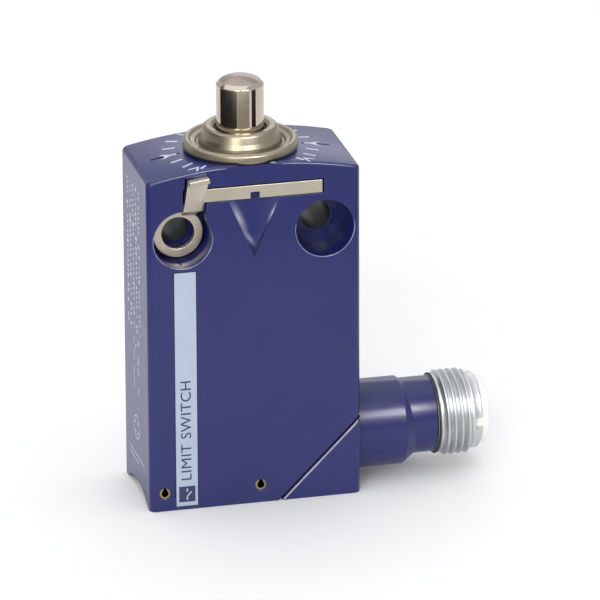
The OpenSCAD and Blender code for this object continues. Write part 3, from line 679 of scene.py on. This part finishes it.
def buildHead(v):
    seat, rim, top = v["seat"], v["seat"] + v["rim"], v["top"]
    profile = [
        (v["bore"], v["tailZ"], 0.08), (v["tail"], v["tailZ"], 0.12), (v["tail"], v["spigotZ"], 0.1),
        (v["spigot"], v["spigotZ"], 0.2), (v["spigot"], v["clipZ"][0], 0.06),
        (v["groove"], v["clipZ"][0], 0.1), (v["groove"], v["clipZ"][1], 0.1),
        (v["spigot"], v["clipZ"][1], 0.06), (v["spigot"], v["ringZ"][0], 0.05),
        (v["spigot"] - 0.64, v["ringZ"][0], 0.08), (v["spigot"] - 0.64, v["ringZ"][1], 0.08),
        (v["spigot"], v["ringZ"][1], 0.05), (v["spigot"], seat, 0.05), (v["flange"] - 0.12, seat, 0.12),
        (v["flange"], seat + 0.4, 0.3), (v["flange"] - 0.05, rim - 0.3, 0.35),
        (v["flange"] - 0.45, rim, 0.3), (v["flange"] - 0.8, rim - 0.02, 0.25),
        (v["flange"] - 1.15, rim - 0.34, 0.12), (v["spigot"] + 0.55, rim - 0.42, 0.2),
        (v["spigot"] + 0.3, rim - 0.72, 0.08), (v["spigot"] + 0.06, rim - 0.72, 0.08),
        (v["spigot"] - 0.03, rim - 0.1, 0.3), (v["spigot"] - 0.3, rim + 0.55, 0.8),
        (v["bossTop"] + 0.05, top - 0.25, 0.5), (v["bossTop"] - 0.28, top, 0.16),
        (v["mouth"] + 0.45, top - 0.03, 0.08), (v["mouth"], top - 0.36, 0.12),
        (v["mouth"], top - v["lip"], 0.04), (v["bore"], top - v["lip"], 0.04)]
    piece = turned("turnedHead", profile, segments=128, closed=True)
    useMaterial(piece, "nickelZinc")
    finishPiece(piece, "head", "nickel_zinc", "head_housing")


def buildPlunger(v):
    rise = v["end"] - v["shoulder"] - v["bevel"]
    flat = v["radius"] - v["bevel"]
    ball = (flat ** 2 + rise ** 2) / (2 * rise)
    dome = [(flat * (1 - k / 8), v["end"] - ball + math.sqrt(ball ** 2 - (flat * (1 - k / 8)) ** 2), 0.0)
            for k in range(1, 9)]
    profile = [
        (0.0, v["stemZ"], 0), (v["stem"], v["stemZ"], 0.2), (v["stem"], v["collarZ"][0], 0.1),
        (v["collar"], v["collarZ"][0], 0.1), (v["collar"], v["collarZ"][1], 0.1),
        (v["radius"], v["collarZ"][1], 0.05), (v["radius"], v["shoulder"], 0.16),
        (flat, v["shoulder"] + v["bevel"], 0.2)] + dome
    piece = turned("polishedPlunger", profile, segments=128, steps=4)
    useMaterial(piece, "polishedSteel", "groundSteel")
    for face in piece.data.polygons:
        if face.center.z / mm > v["shoulder"] + v["bevel"] + 0.03:
            face.material_index = 1
    finishPiece(piece, "plunger", "polished_steel", "plunger")


buildHead(head)
buildPlunger(plunger)
print("head and plunger done")


connector = {
    "axisZ": 7.65, "thread": 6.0, "pitch": 1.0, "threadX": (27.3, 32.3), "noseX": 33.3,
    "depth": 0.61,          # thread depth as a share of the pitch
    "fade": 0.7,            # pitches over which the thread rises from and sinks into the shell
    "stub": 4.4, "stubX": (20.9, 26.94), "insert": 4.8, "insertBack": 3.8, "insertX": (24.4, 34.4),
    "socket": 4.1, "socketX": 28.1, "pin": 0.5, "pinCircle": 2.55, "pinX": (23.5, 33.2), "pins": 4,
    "segments": 96, "rowsPerTurn": 10, "notch": 1.5,
}


# A flat grid, one unit square, is wound into a helix: X goes round it and Y along it
def growThread(v):
    first, last = v["threadX"]
    root = v["thread"] - v["depth"] * v["pitch"]
    turns = round((last - first) / v["pitch"])
    sizes = {"pitch": v["pitch"] * mm, "length": (last - first) * mm, "root": root * mm,
             "crest": v["thread"] * mm, "startX": first * mm, "axisZ": v["axisZ"] * mm}
    tree, given, output = newTree("threadSkin", sizes)
    grid = addNode(tree, "GeometryNodeMeshGrid", {
        "Size X": 1.0, "Size Y": 1.0, "Vertices X": v["segments"] + 1,
        "Vertices Y": (turns + 1) * v["rowsPerTurn"] + 1})
    position = addNode(tree, "GeometryNodeInputPosition").outputs["Position"]
    place = addNode(tree, "ShaderNodeSeparateXYZ", None, {"Vector": position}).outputs
    around = addNode(tree, "ShaderNodeMath", {"operation": "ADD", 1: 0.5}, {0: place["X"]}).outputs[0]
    share = addNode(tree, "ShaderNodeMath", {"operation": "ADD", 1: 0.5}, {0: place["Y"]}).outputs[0]
    row = addNode(tree, "ShaderNodeMath", {"operation": "MULTIPLY", 1: turns + 1.0}, {0: share}).outputs[0]
    wound = addNode(tree, "ShaderNodeMath", {"operation": "ADD"}, {0: row, 1: around}).outputs[0]
    past = addNode(tree, "ShaderNodeMath", {"operation": "SUBTRACT", 1: 1.0}, {0: wound}).outputs[0]
    advance = addNode(tree, "ShaderNodeMath", {"operation": "MULTIPLY"},
                      {0: past, 1: given["pitch"]}).outputs[0]
    # the crest stands halfway through each turn of the grid
    nudged = addNode(tree, "ShaderNodeMath", {"operation": "ADD", 1: 0.001}, {0: row}).outputs[0]
    part = addNode(tree, "ShaderNodeMath", {"operation": "FRACT"}, {0: nudged}).outputs[0]
    centred = addNode(tree, "ShaderNodeMath", {"operation": "SUBTRACT", 1: 0.5}, {0: part}).outputs[0]
    phase = addNode(tree, "ShaderNodeMath", {"operation": "ABSOLUTE"}, {0: centred}).outputs[0]
    height = addNode(tree, "ShaderNodeMapRange", {
        "From Min": 0.47, "From Max": 0.09, "To Min": 0.0, "To Max": 1.0},
        {"Value": phase}).outputs["Result"]
    left = addNode(tree, "ShaderNodeMath", {"operation": "SUBTRACT"},
                   {0: given["length"], 1: advance}).outputs[0]
    reach = addNode(tree, "ShaderNodeMath", {"operation": "MULTIPLY", 1: v["fade"]},
                    {0: given["pitch"]}).outputs[0]
    for distance in (advance, left):
        fade = addNode(tree, "ShaderNodeMapRange", {"From Min": 0.0},
                       {"Value": distance, "From Max": reach}).outputs["Result"]
        height = addNode(tree, "ShaderNodeMath", {"operation": "MULTIPLY"}, {0: height, 1: fade}).outputs[0]
    depth = addNode(tree, "ShaderNodeMath", {"operation": "SUBTRACT"},
                    {0: given["crest"], 1: given["root"]}).outputs[0]
    radius = addNode(tree, "ShaderNodeMath", {"operation": "MULTIPLY_ADD"},
                     {0: height, 1: depth, 2: given["root"]}).outputs[0]
    angle = addNode(tree, "ShaderNodeMath", {"operation": "MULTIPLY", 1: 2 * math.pi},
                    {0: around}).outputs[0]
    cosine = addNode(tree, "ShaderNodeMath", {"operation": "COSINE"}, {0: angle}).outputs[0]
    sine = addNode(tree, "ShaderNodeMath", {"operation": "SINE"}, {0: angle}).outputs[0]
    begun = addNode(tree, "ShaderNodeMath", {"operation": "MAXIMUM", 1: 0.0}, {0: advance}).outputs[0]
    along = addNode(tree, "ShaderNodeMath", {"operation": "MINIMUM"},
                    {0: begun, 1: given["length"]}).outputs[0]
    x = addNode(tree, "ShaderNodeMath", {"operation": "ADD"}, {0: along, 1: given["startX"]}).outputs[0]
    y = addNode(tree, "ShaderNodeMath", {"operation": "MULTIPLY"}, {0: radius, 1: cosine}).outputs[0]
    z = addNode(tree, "ShaderNodeMath", {"operation": "MULTIPLY_ADD"},
                {0: radius, 1: sine, 2: given["axisZ"]}).outputs[0]
    spot = addNode(tree, "ShaderNodeCombineXYZ", None, {"X": x, "Y": y, "Z": z}).outputs["Vector"]
    bent = addNode(tree, "GeometryNodeSetPosition", None, {
        "Geometry": grid.outputs["Mesh"], "Position": spot})
    return growPiece("threadSkin", tree, output, bent.outputs["Geometry"], "zincShell", sizes)


def buildShell(v):
    root = v["thread"] - v["depth"] * v["pitch"]
    profile = [
        (root, v["threadX"][1], 0), (root, v["noseX"] - 0.2, 0.1), (root - 0.25, v["noseX"], 0.1),
        (v["insert"] + 0.04, v["noseX"], 0.05), (v["insert"] + 0.04, v["threadX"][0] + 0.4, 0.05),
        (v["insertBack"] + 0.04, v["threadX"][0], 0.05), (v["insertBack"] + 0.04, v["stubX"][0], 0.05),
        (v["stub"], v["stubX"][0], 0.1), (v["stub"], v["stubX"][1], 0.0), (root, v["stubX"][1], 0.05),
        (root, v["threadX"][0], 0)]
    body = turned("shellBody", profile, v["segments"], (0, 0, v["axisZ"]), "X")
    useMaterial(body, "zincShell")
    shell = joinPieces("threadedShell", body, growThread(v))
    cleanMesh(shell, 0.003)
    cutter = boxPiece("notchCutter", (v["noseX"] - 1.0, -v["thread"] - 1, v["axisZ"] - v["notch"] / 2),
                      (v["noseX"] + 1, -v["insert"] + 0.3, v["axisZ"] + v["notch"] / 2))
    cutBy(shell, cutter)
    sharpenAngles(shell, 50)
    finishPiece(shell, "body", "zinc_shell", "connector_shell")


def boxPiece(name, low, high):
    corners = [(x, y, z) for x in (low[0], high[0]) for y in (low[1], high[1]) for z in (low[2], high[2])]
    faces = [(0, 1, 3, 2), (4, 6, 7, 5), (0, 4, 5, 1), (2, 3, 7, 6), (0, 2, 6, 4), (1, 5, 7, 3)]
    return meshFrom(name, [Vector(c) * mm for c in corners], faces, False)


def cutBy(piece, cutter):
    trim = piece.modifiers.new("cut", "BOOLEAN")
    trim.operation = "DIFFERENCE"
    trim.solver = "EXACT"
    trim.object = cutter
    applyModifiers(piece)
    bpy.data.objects.remove(cutter)


def buildInsert(v):
    profile = [
        (0, v["insertX"][0], 0), (v["insertBack"], v["insertX"][0], 0.15),
        (v["insertBack"], v["threadX"][0] + 0.6, 0.05),
        (v["insert"], v["threadX"][0] + 0.6, 0.1), (v["insert"], v["insertX"][1] - 0.1, 0.45),
        (v["insert"] - 0.35, v["insertX"][1], 0.25), (v["socket"], v["insertX"][1], 0.12),
        (v["socket"], v["socketX"], 0.1), (0, v["socketX"], 0)]
    piece = turned("insulatingInsert", profile, v["segments"], (0, 0, v["axisZ"]), "X")
    useMaterial(piece, "whitePlastic")
    finishPiece(piece, "body", "white_plastic", "connector_insert")


def growPins(v):
    back, tip = v["pinX"]
    length = tip - back
    profile = [(0, 0, 0), (v["pin"] * 0.8, 0, 0.05), (v["pin"], 0.2, 0.1), (v["pin"], length - 0.5, 0.3),
               (v["pin"] * 0.45, length, 0.2), (0, length, 0)]
    pin = turned("onePin", profile, 24)
    useMaterial(pin, "goldPlate")
    sizes = {"pin": pin, "circle": v["pinCircle"] * mm, "count": v["pins"], "backX": back * mm,
             "axisZ": v["axisZ"] * mm}
    tree, given, output = newTree("pinRing", sizes)
    ring = addNode(tree, "GeometryNodeMeshCircle", None, {
        "Vertices": given["count"], "Radius": given["circle"]})
    turnedRing = addNode(tree, "GeometryNodeTransform", {"Rotation": (0, 0, math.pi / 4)},
                         {"Geometry": ring.outputs["Mesh"]})
    source = addNode(tree, "GeometryNodeObjectInfo", None, {"Object": given["pin"]})
    pins = addNode(tree, "GeometryNodeInstanceOnPoints", None, {
        "Points": turnedRing.outputs["Geometry"], "Instance": source.outputs["Geometry"]})
    spot = addNode(tree, "ShaderNodeCombineXYZ", None, {"X": given["backX"], "Z": given["axisZ"]})
    laid = addNode(tree, "GeometryNodeTransform", {"Rotation": (0, math.pi / 2, 0)}, {
        "Geometry": pins.outputs["Instances"], "Translation": spot.outputs["Vector"]})
    piece = growPiece("contactPins", tree, output, laid.outputs["Geometry"], "goldPlate", sizes)
    bpy.data.objects.remove(pin)
    finishPiece(piece, "body", "gold_plate", "connector_pins")


buildShell(connector)
buildInsert(connector)
growPins(connector)
print("connector done")


clip = {"edge": 0.07}
pinSteel = {"edge": 0.1}
label = {
    "textFoot": 4.3, "textSize": 2.1, "spread": 1.06, "emblemZ": 1.2, "emblem": 2.3, "ink": 0.012,
    "edge": 0.06,
    # a plain open contact, as four-cornered strokes (x, z) from the emblem's foot
    "sign": [[(-0.11, 0.3), (0.11, 0.3), (0.11, 0.85), (-0.11, 0.85)],
             [(-0.11, 1.5), (0.11, 1.5), (0.11, 2.0), (-0.11, 2.0)],
             [(-0.11, 0.85), (0.1, 0.78), (0.7, 1.45), (0.52, 1.56)]],
}


def buildClip(v):
    cuts = [(0, -fixing["x"]), (2, fixing["z"])]
    piece = softenedCopy("retaining_clip", "stampedClip", v["edge"], 3, cuts)
    useMaterial(piece, "stainlessSteel")
    finishPiece(piece, "clip", "stainless_steel", "retaining_clip")


def buildRollPins(v):
    for node, name in (("roll_pin_left", "rolledPinLeft"), ("roll_pin_right", "rolledPinRight")):
        piece = softenedCopy(node, name, v["edge"])
        useMaterial(piece, "platedPin")
        finishPiece(piece, "body", "spring_steel", node)


# Words as a flat mesh in the XY plane, reading along +X from the origin
def textMesh(words, size, spacing, resolution):
    data = bpy.data.curves.new("words", "FONT")
    data.body = words
    data.size = size * mm
    data.align_y = "CENTER"
    data.space_character = spacing
    data.resolution_u = resolution
    text = newObject("words", data)
    shapes = bpy.context.evaluated_depsgraph_get()
    shapes.update()
    mesh = bpy.data.meshes.new_from_object(text.evaluated_get(shapes))
    bpy.data.objects.remove(text)
    return mesh


# Words standing on the front face, widened by width and running up along +Z
def inkText(name, words, size, place, width):
    mesh = textMesh(words, size, 1.05, 6)
    flat = Matrix.Rotation(math.pi / 2, 4, "X")
    turn = Matrix.Rotation(-math.pi / 2, 4, "Y")
    mesh.transform(Matrix.Translation(Vector(place) * mm) @ turn @ flat @ Matrix.Diagonal((width, 1, 1, 1)))
    return newObject(name, mesh)


# Flat four-cornered marks, in mm from (x, z), standing at depth y
def flatMarks(name, marks, x, y, z):
    points = [Vector((x + across, y, z + up)) * mm for mark in marks for across, up in mark]
    return meshFrom(name, points, [tuple(range(k, k + 4)) for k in range(0, len(points), 4)], False)


def thickenFront(piece, depth):
    faceUp(piece, Vector((0, -1, 0)))
    thicken(piece, depth)


def buildLabel(v):
    low, high = (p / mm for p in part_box("label_strip"))
    strip = softenedCopy("label_strip", "labelStrip", v["edge"])
    useMaterial(strip, "labelFilm")
    finishPiece(strip, "body", "label_film", "label_strip")
    front = low.y - v["ink"]
    middle = (low.x + high.x) / 2
    word = inkText("labelWord", "LIMIT SWITCH", v["textSize"], (middle, front, v["textFoot"]), v["spread"])
    half, base = v["emblem"] / 2, v["emblemZ"]
    corners = [(-half, 0), (half, 0), (half, 2 * half), (-half, 2 * half)]
    square = flatMarks("labelSquare", [corners], middle, front, base)
    sign = flatMarks("labelSign", v["sign"], middle, front - v["ink"], base)
    useMaterial(sign, "labelFilm")
    thickenFront(sign, v["ink"])
    finishPiece(sign, "body", "label_film")
    for piece in (word, square):
        useMaterial(piece, "labelInk")
    ink = joinPieces("labelInk", word, square)
    thickenFront(ink, v["ink"])
    finishPiece(ink, "body", "label_film")


buildClip(clip)
buildRollPins(pinSteel)
buildLabel(label)
print("clip, pins and label done")


ticks = {
    "count": 24, "inner": 9.0, "outer": 10.75, "width": 0.4, "ink": 0.03,
    "lift": 0.02,           # height of the ink over the enamel
    "limit": 7.2,           # ticks stop this far from the head's axis, short of the front and back edges
}


# Dashes set round the head's axis, then dropped on to the crowned top
def growTicks(v):
    sizes = {"inner": v["inner"] * mm, "outer": v["outer"] * mm, "width": v["width"] * mm,
             "count": v["count"], "crownRadius": crownRadius * mm,
             "crownTop": (casting["height"] + v["lift"]) * mm, "edgeY": v["limit"] * mm}
    tree, given, output = newTree("tickRing", sizes)
    inner, outer, bend = given["inner"], given["outer"], given["crownRadius"]
    length = addNode(tree, "ShaderNodeMath", {"operation": "SUBTRACT"}, {0: outer, 1: inner}).outputs[0]
    dash = addNode(tree, "GeometryNodeMeshGrid", {"Vertices X": 7, "Vertices Y": 2},
                   {"Size X": length, "Size Y": given["width"]})
    both = addNode(tree, "ShaderNodeMath", {"operation": "ADD"}, {0: outer, 1: inner}).outputs[0]
    middle = addNode(tree, "ShaderNodeMath", {"operation": "MULTIPLY", 1: 0.5}, {0: both}).outputs[0]
    shift = addNode(tree, "ShaderNodeCombineXYZ", None, {"X": middle})
    outwards = addNode(tree, "GeometryNodeTransform", None, {"Geometry": dash.outputs["Mesh"],
                                                             "Translation": shift.outputs["Vector"]})
    centre = addNode(tree, "GeometryNodeMeshLine", {"Offset": (0, 0, 0)}, {"Count": given["count"]})
    step = addNode(tree, "ShaderNodeMath", {"operation": "DIVIDE", 0: 2 * math.pi},
                   {1: given["count"]}).outputs[0]
    index = addNode(tree, "GeometryNodeInputIndex").outputs["Index"]
    bearing = addNode(tree, "ShaderNodeMath", {"operation": "MULTIPLY"}, {0: index, 1: step}).outputs[0]
    spin = addNode(tree, "ShaderNodeCombineXYZ", None, {"Z": bearing})
    ring = addNode(tree, "GeometryNodeInstanceOnPoints", None, {
        "Points": centre.outputs["Mesh"], "Instance": outwards.outputs["Geometry"],
        "Rotation": spin.outputs["Vector"]})
    real = addNode(tree, "GeometryNodeRealizeInstances", None, {"Geometry": ring.outputs["Instances"]})
    position = addNode(tree, "GeometryNodeInputPosition").outputs["Position"]
    place = addNode(tree, "ShaderNodeSeparateXYZ", None, {"Vector": position}).outputs
    # the height of the crowned top over each point, from its radius of curvature
    bendSquared = addNode(tree, "ShaderNodeMath", {"operation": "MULTIPLY"}, {0: bend, 1: bend}).outputs[0]
    xSquared = addNode(tree, "ShaderNodeMath", {"operation": "MULTIPLY"},
                       {0: place["X"], 1: place["X"]}).outputs[0]
    rest = addNode(tree, "ShaderNodeMath", {"operation": "SUBTRACT"},
                   {0: bendSquared, 1: xSquared}).outputs[0]
    rise = addNode(tree, "ShaderNodeMath", {"operation": "SQRT"}, {0: rest}).outputs[0]
    foot = addNode(tree, "ShaderNodeMath", {"operation": "SUBTRACT"},
                   {0: given["crownTop"], 1: bend}).outputs[0]
    height = addNode(tree, "ShaderNodeMath", {"operation": "ADD"}, {0: foot, 1: rise}).outputs[0]
    spot = addNode(tree, "ShaderNodeCombineXYZ", None, {"X": place["X"], "Y": place["Y"], "Z": height})
    laid = addNode(tree, "GeometryNodeSetPosition", None, {"Geometry": real.outputs["Geometry"],
                                                           "Position": spot.outputs["Vector"]})
    fromMiddle = addNode(tree, "ShaderNodeMath", {"operation": "ABSOLUTE"}, {0: place["Y"]}).outputs[0]
    tooFar = addNode(tree, "FunctionNodeCompare", {"data_type": "FLOAT", "operation": "GREATER_THAN"},
                     {0: fromMiddle, 1: given["edgeY"]})
    trimmed = addNode(tree, "GeometryNodeDeleteGeometry", {"domain": "FACE"}, {
        "Geometry": laid.outputs["Geometry"], "Selection": tooFar.outputs["Result"]})
    piece = growPiece("tickMarks", tree, output, trimmed.outputs["Geometry"], "printInk", sizes)
    faceUp(piece, Vector((0, 0, 1)))
    thicken(piece, v["ink"])
    finishPiece(piece, "body", "painted_zinc")


growTicks(ticks)


# Arrowheads where the index lines point at the scale, and the two marks of its end stops
arrows = {
    "tip": 11.3, "length": 1.7, "half": 0.75, "stroke": 0.42, "bearings": (0, 180, -41, -139), "lift": 0.022,
    "ink": 0.03,
}


def buildArrows(v):
    verts, faces = [], []
    for bearing in v["bearings"]:
        spin = Matrix.Rotation(math.radians(bearing), 2)
        outer, back = v["tip"], v["tip"] - v["length"]
        for side in (1, -1):
            stroke = [(back, 0.0), (back + v["stroke"] * 1.4, 0.0), (outer, side * v["half"]),
                      (outer - v["stroke"] * 1.2, side * v["half"])]
            start = len(verts)
            for place in stroke:
                x, y = spin @ Vector(place)
                verts.append(Vector((x, y, crownHeight(x) + v["lift"])) * mm)
            faces.append(tuple(range(start, start + 4)))
    piece = meshFrom("scaleArrows", verts, faces, False)
    faceUp(piece, Vector((0, 0, 1)))
    thicken(piece, v["ink"])
    useMaterial(piece, "printInk")
    finishPiece(piece, "body", "painted_zinc")


buildArrows(arrows)
print("ticks done")


# White print on the left side: rows of fine dashes that read as small type, a wiring diagram and a pin plan
sidePrint = {
    "rows": 5, "perRow": 30, "rowStep": 1.75, "dashStep": 0.72, "dash": 0.5, "height": 0.85,
    "firstY": -4.4, "firstZ": 24.2, "seed": 7, "sunk": 0.003, "line": 0.16, "type": 1.5,
    "gapShare": 0.17,                           # share of dashes left out, as spaces between words
    # foot of each contact's drawing, and whether it is closed
    "contactX": -1.2, "contacts": [(15.2, True), (19.4, False)],
    "numberX": 0.6, "numbers": [("11", 15.4), ("12", 18.3), ("23", 19.9), ("24", 22.6)],
    # middle and radius of the pin plan's ring, and how far its four pins stand from the middle
    "plan": (-0.2, 9.6), "planRadius": 1.7, "planSides": 24, "pinReach": 0.7, "pinHalf": 0.22,
    "rules": [(-4.6, 4.4, 5.4), (-4.6, 0.8, 4.6)],      # start, end and height of the lines below it
}


def growSmallType(v):
    sizes = {"rows": v["rows"], "perRow": v["perRow"], "rowStep": v["rowStep"] * mm,
             "dashStep": v["dashStep"] * mm, "dash": v["dash"] * mm, "height": v["height"] * mm,
             "seed": v["seed"]}
    tree, given, output = newTree("smallType", sizes)
    perRow = given["perRow"]
    dash = addNode(tree, "GeometryNodeMeshGrid", {"Vertices X": 2, "Vertices Y": 2},
                   {"Size X": given["height"], "Size Y": given["dash"]})
    total = addNode(tree, "ShaderNodeMath", {"operation": "MULTIPLY"},
                    {0: given["rows"], 1: perRow}).outputs[0]
    line = addNode(tree, "GeometryNodeMeshLine", {"Offset": (0, 0, 0)}, {"Count": total})
    index = addNode(tree, "GeometryNodeInputIndex").outputs["Index"]
    nudged = addNode(tree, "ShaderNodeMath", {"operation": "ADD", 1: 0.5}, {0: index}).outputs[0]
    share = addNode(tree, "ShaderNodeMath", {"operation": "DIVIDE"}, {0: nudged, 1: perRow}).outputs[0]
    row = addNode(tree, "ShaderNodeMath", {"operation": "FLOOR"}, {0: share}).outputs[0]
    before = addNode(tree, "ShaderNodeMath", {"operation": "MULTIPLY"}, {0: row, 1: perRow}).outputs[0]
    column = addNode(tree, "ShaderNodeMath", {"operation": "SUBTRACT"}, {0: index, 1: before}).outputs[0]
    x = addNode(tree, "ShaderNodeMath", {"operation": "MULTIPLY"}, {0: row, 1: given["rowStep"]}).outputs[0]
    y = addNode(tree, "ShaderNodeMath", {"operation": "MULTIPLY"},
                {0: column, 1: given["dashStep"]}).outputs[0]
    spot = addNode(tree, "ShaderNodeCombineXYZ", None, {"X": x, "Y": y})
    laid = addNode(tree, "GeometryNodeSetPosition", None, {"Geometry": line.outputs["Mesh"],
                                                           "Position": spot.outputs["Vector"]})
    gap = addNode(tree, "FunctionNodeRandomValue", {"data_type": "FLOAT", 2: 0.0, 3: 1.0},
                  {"Seed": given["seed"]})
    space = addNode(tree, "FunctionNodeCompare", {
        "data_type": "FLOAT", "operation": "LESS_THAN", 1: v["gapShare"]}, {0: gap.outputs[1]})
    words = addNode(tree, "GeometryNodeDeleteGeometry", {"domain": "POINT"}, {
        "Geometry": laid.outputs["Geometry"], "Selection": space.outputs["Result"]})
    size = addNode(tree, "FunctionNodeRandomValue", {
        "data_type": "FLOAT_VECTOR", 0: (0.35, 0.35, 1.0), 1: (1.0, 1.1, 1.0)}, {"Seed": given["seed"]})
    dashes = addNode(tree, "GeometryNodeInstanceOnPoints", None, {
        "Points": words.outputs["Geometry"], "Instance": dash.outputs["Mesh"], "Scale": size.outputs[0]})
    return growPiece("smallType", tree, output, dashes.outputs["Instances"], "printInk", sizes)


# Flat print drawn with x across the side, from front to back, and y upwards, moved on to the left side
def layOnLeft(piece, v):
    left = casingLow.x + v["sunk"]
    piece.data.transform(Matrix(((0, 0, -1, left * mm), (-1, 0, 0, 0), (0, 1, 0, 0), (0, 0, 0, 1))))
    faceUp(piece, Vector((-1, 0, 0)))


def buildDiagram(v):
    strokes, w = [], v["line"]

    def bar(x0, y0, x1, y1):
        along = Vector((x1 - x0, y1 - y0)).normalized()
        side = Vector((-along.y, along.x)) * w / 2
        a, b = Vector((x0, y0)), Vector((x1, y1))
        strokes.append([a + side, b + side, b - side, a - side])

    x = v["contactX"]
    for base, closed in v["contacts"]:
        bar(x, base, x, base + 1.1)
        bar(x, base + 2.5, x, base + 3.5)
        bar(x, base + 1.1, -1.5 if closed else 0.0, base + 2.6)
        if closed:
            bar(x, base + 2.5, -1.9, base + 2.5)
    planX, planY = v["plan"]
    radius, sides = v["planRadius"], v["planSides"]
    for k in range(sides):
        a, b = 2 * math.pi * k / sides, 2 * math.pi * (k + 1) / sides
        bar(planX + radius * math.cos(a), planY + radius * math.sin(a),
            planX + radius * math.cos(b), planY + radius * math.sin(b))
    reach, half = v["pinReach"], v["pinHalf"]
    for sx in (-1, 1):
        for sy in (-1, 1):
            strokes.append([Vector((planX + sx * reach + p * half, planY + sy * reach + q * half))
                            for p, q in ((-1, -1), (1, -1), (1, 1), (-1, 1))])
    for start, end, up in v["rules"]:
        bar(start, up, end, up)
    verts, faces = [], []
    for stroke in strokes:
        faces.append(tuple(range(len(verts), len(verts) + 4)))
        verts += [Vector((p.x, p.y, 0)) * mm for p in stroke]
    return meshFrom("wiringDiagram", verts, faces, False)


def buildNumbers(v):
    marks = []
    for words, up in v["numbers"]:
        mesh = textMesh(words, v["type"], 1.0, 4)
        mesh.transform(Matrix.Translation(Vector((v["numberX"], up, 0)) * mm))
        marks.append(newObject("number" + words, mesh))
    return marks


def buildSidePrint(v):
    smallType = growSmallType(v)
    smallType.data.transform(Matrix.Translation(Vector((v["firstY"], v["firstZ"], 0)) * mm))
    parts = [smallType, buildDiagram(v)] + buildNumbers(v)
    for part in parts:
        useMaterial(part, "printInk")
    lettering = joinPieces("sidePrint", *parts)
    layOnLeft(lettering, v)
    thicken(lettering)
    finishPiece(lettering, "body", "painted_zinc")


buildSidePrint(sidePrint)
print("side print done")


# CAD nodes shown as they are, each with its finish
kept = {
    "joint_gasket": "blackRubber", "head_o_ring": "blackRubber", "plunger_bush": "sinteredBronze",
    "wiper_seal": "blackRubber", "plunger_spring": "springSteel", "tail_cap": "sinteredBronze",
    "connector_o_ring": "blackRubber", "wire_brown": "brownPvc", "wire_white": "whitePvc",
    "wire_blue": "bluePvc", "wire_black": "blackPvc", "switch_base": "greyPlastic",
    "switch_cover": "redPlastic", "cover_screws": "stainlessSteel", "fixed_contact_11": "contactBrass",
    "fixed_contact_12": "contactBrass", "fixed_contact_23": "contactBrass",
    "fixed_contact_24": "contactBrass", "carriage": "whitePlastic", "bridge_upper": "contactBrass",
    "bridge_lower": "contactBrass", "bridge_spring_upper": "springSteel",
    "bridge_spring_lower": "springSteel", "return_spring": "springSteel", "block_pad": "blackRubber",
}
for node, finish in kept.items():
    useMaterial(nodes[node], finish)

print("pieces finished")
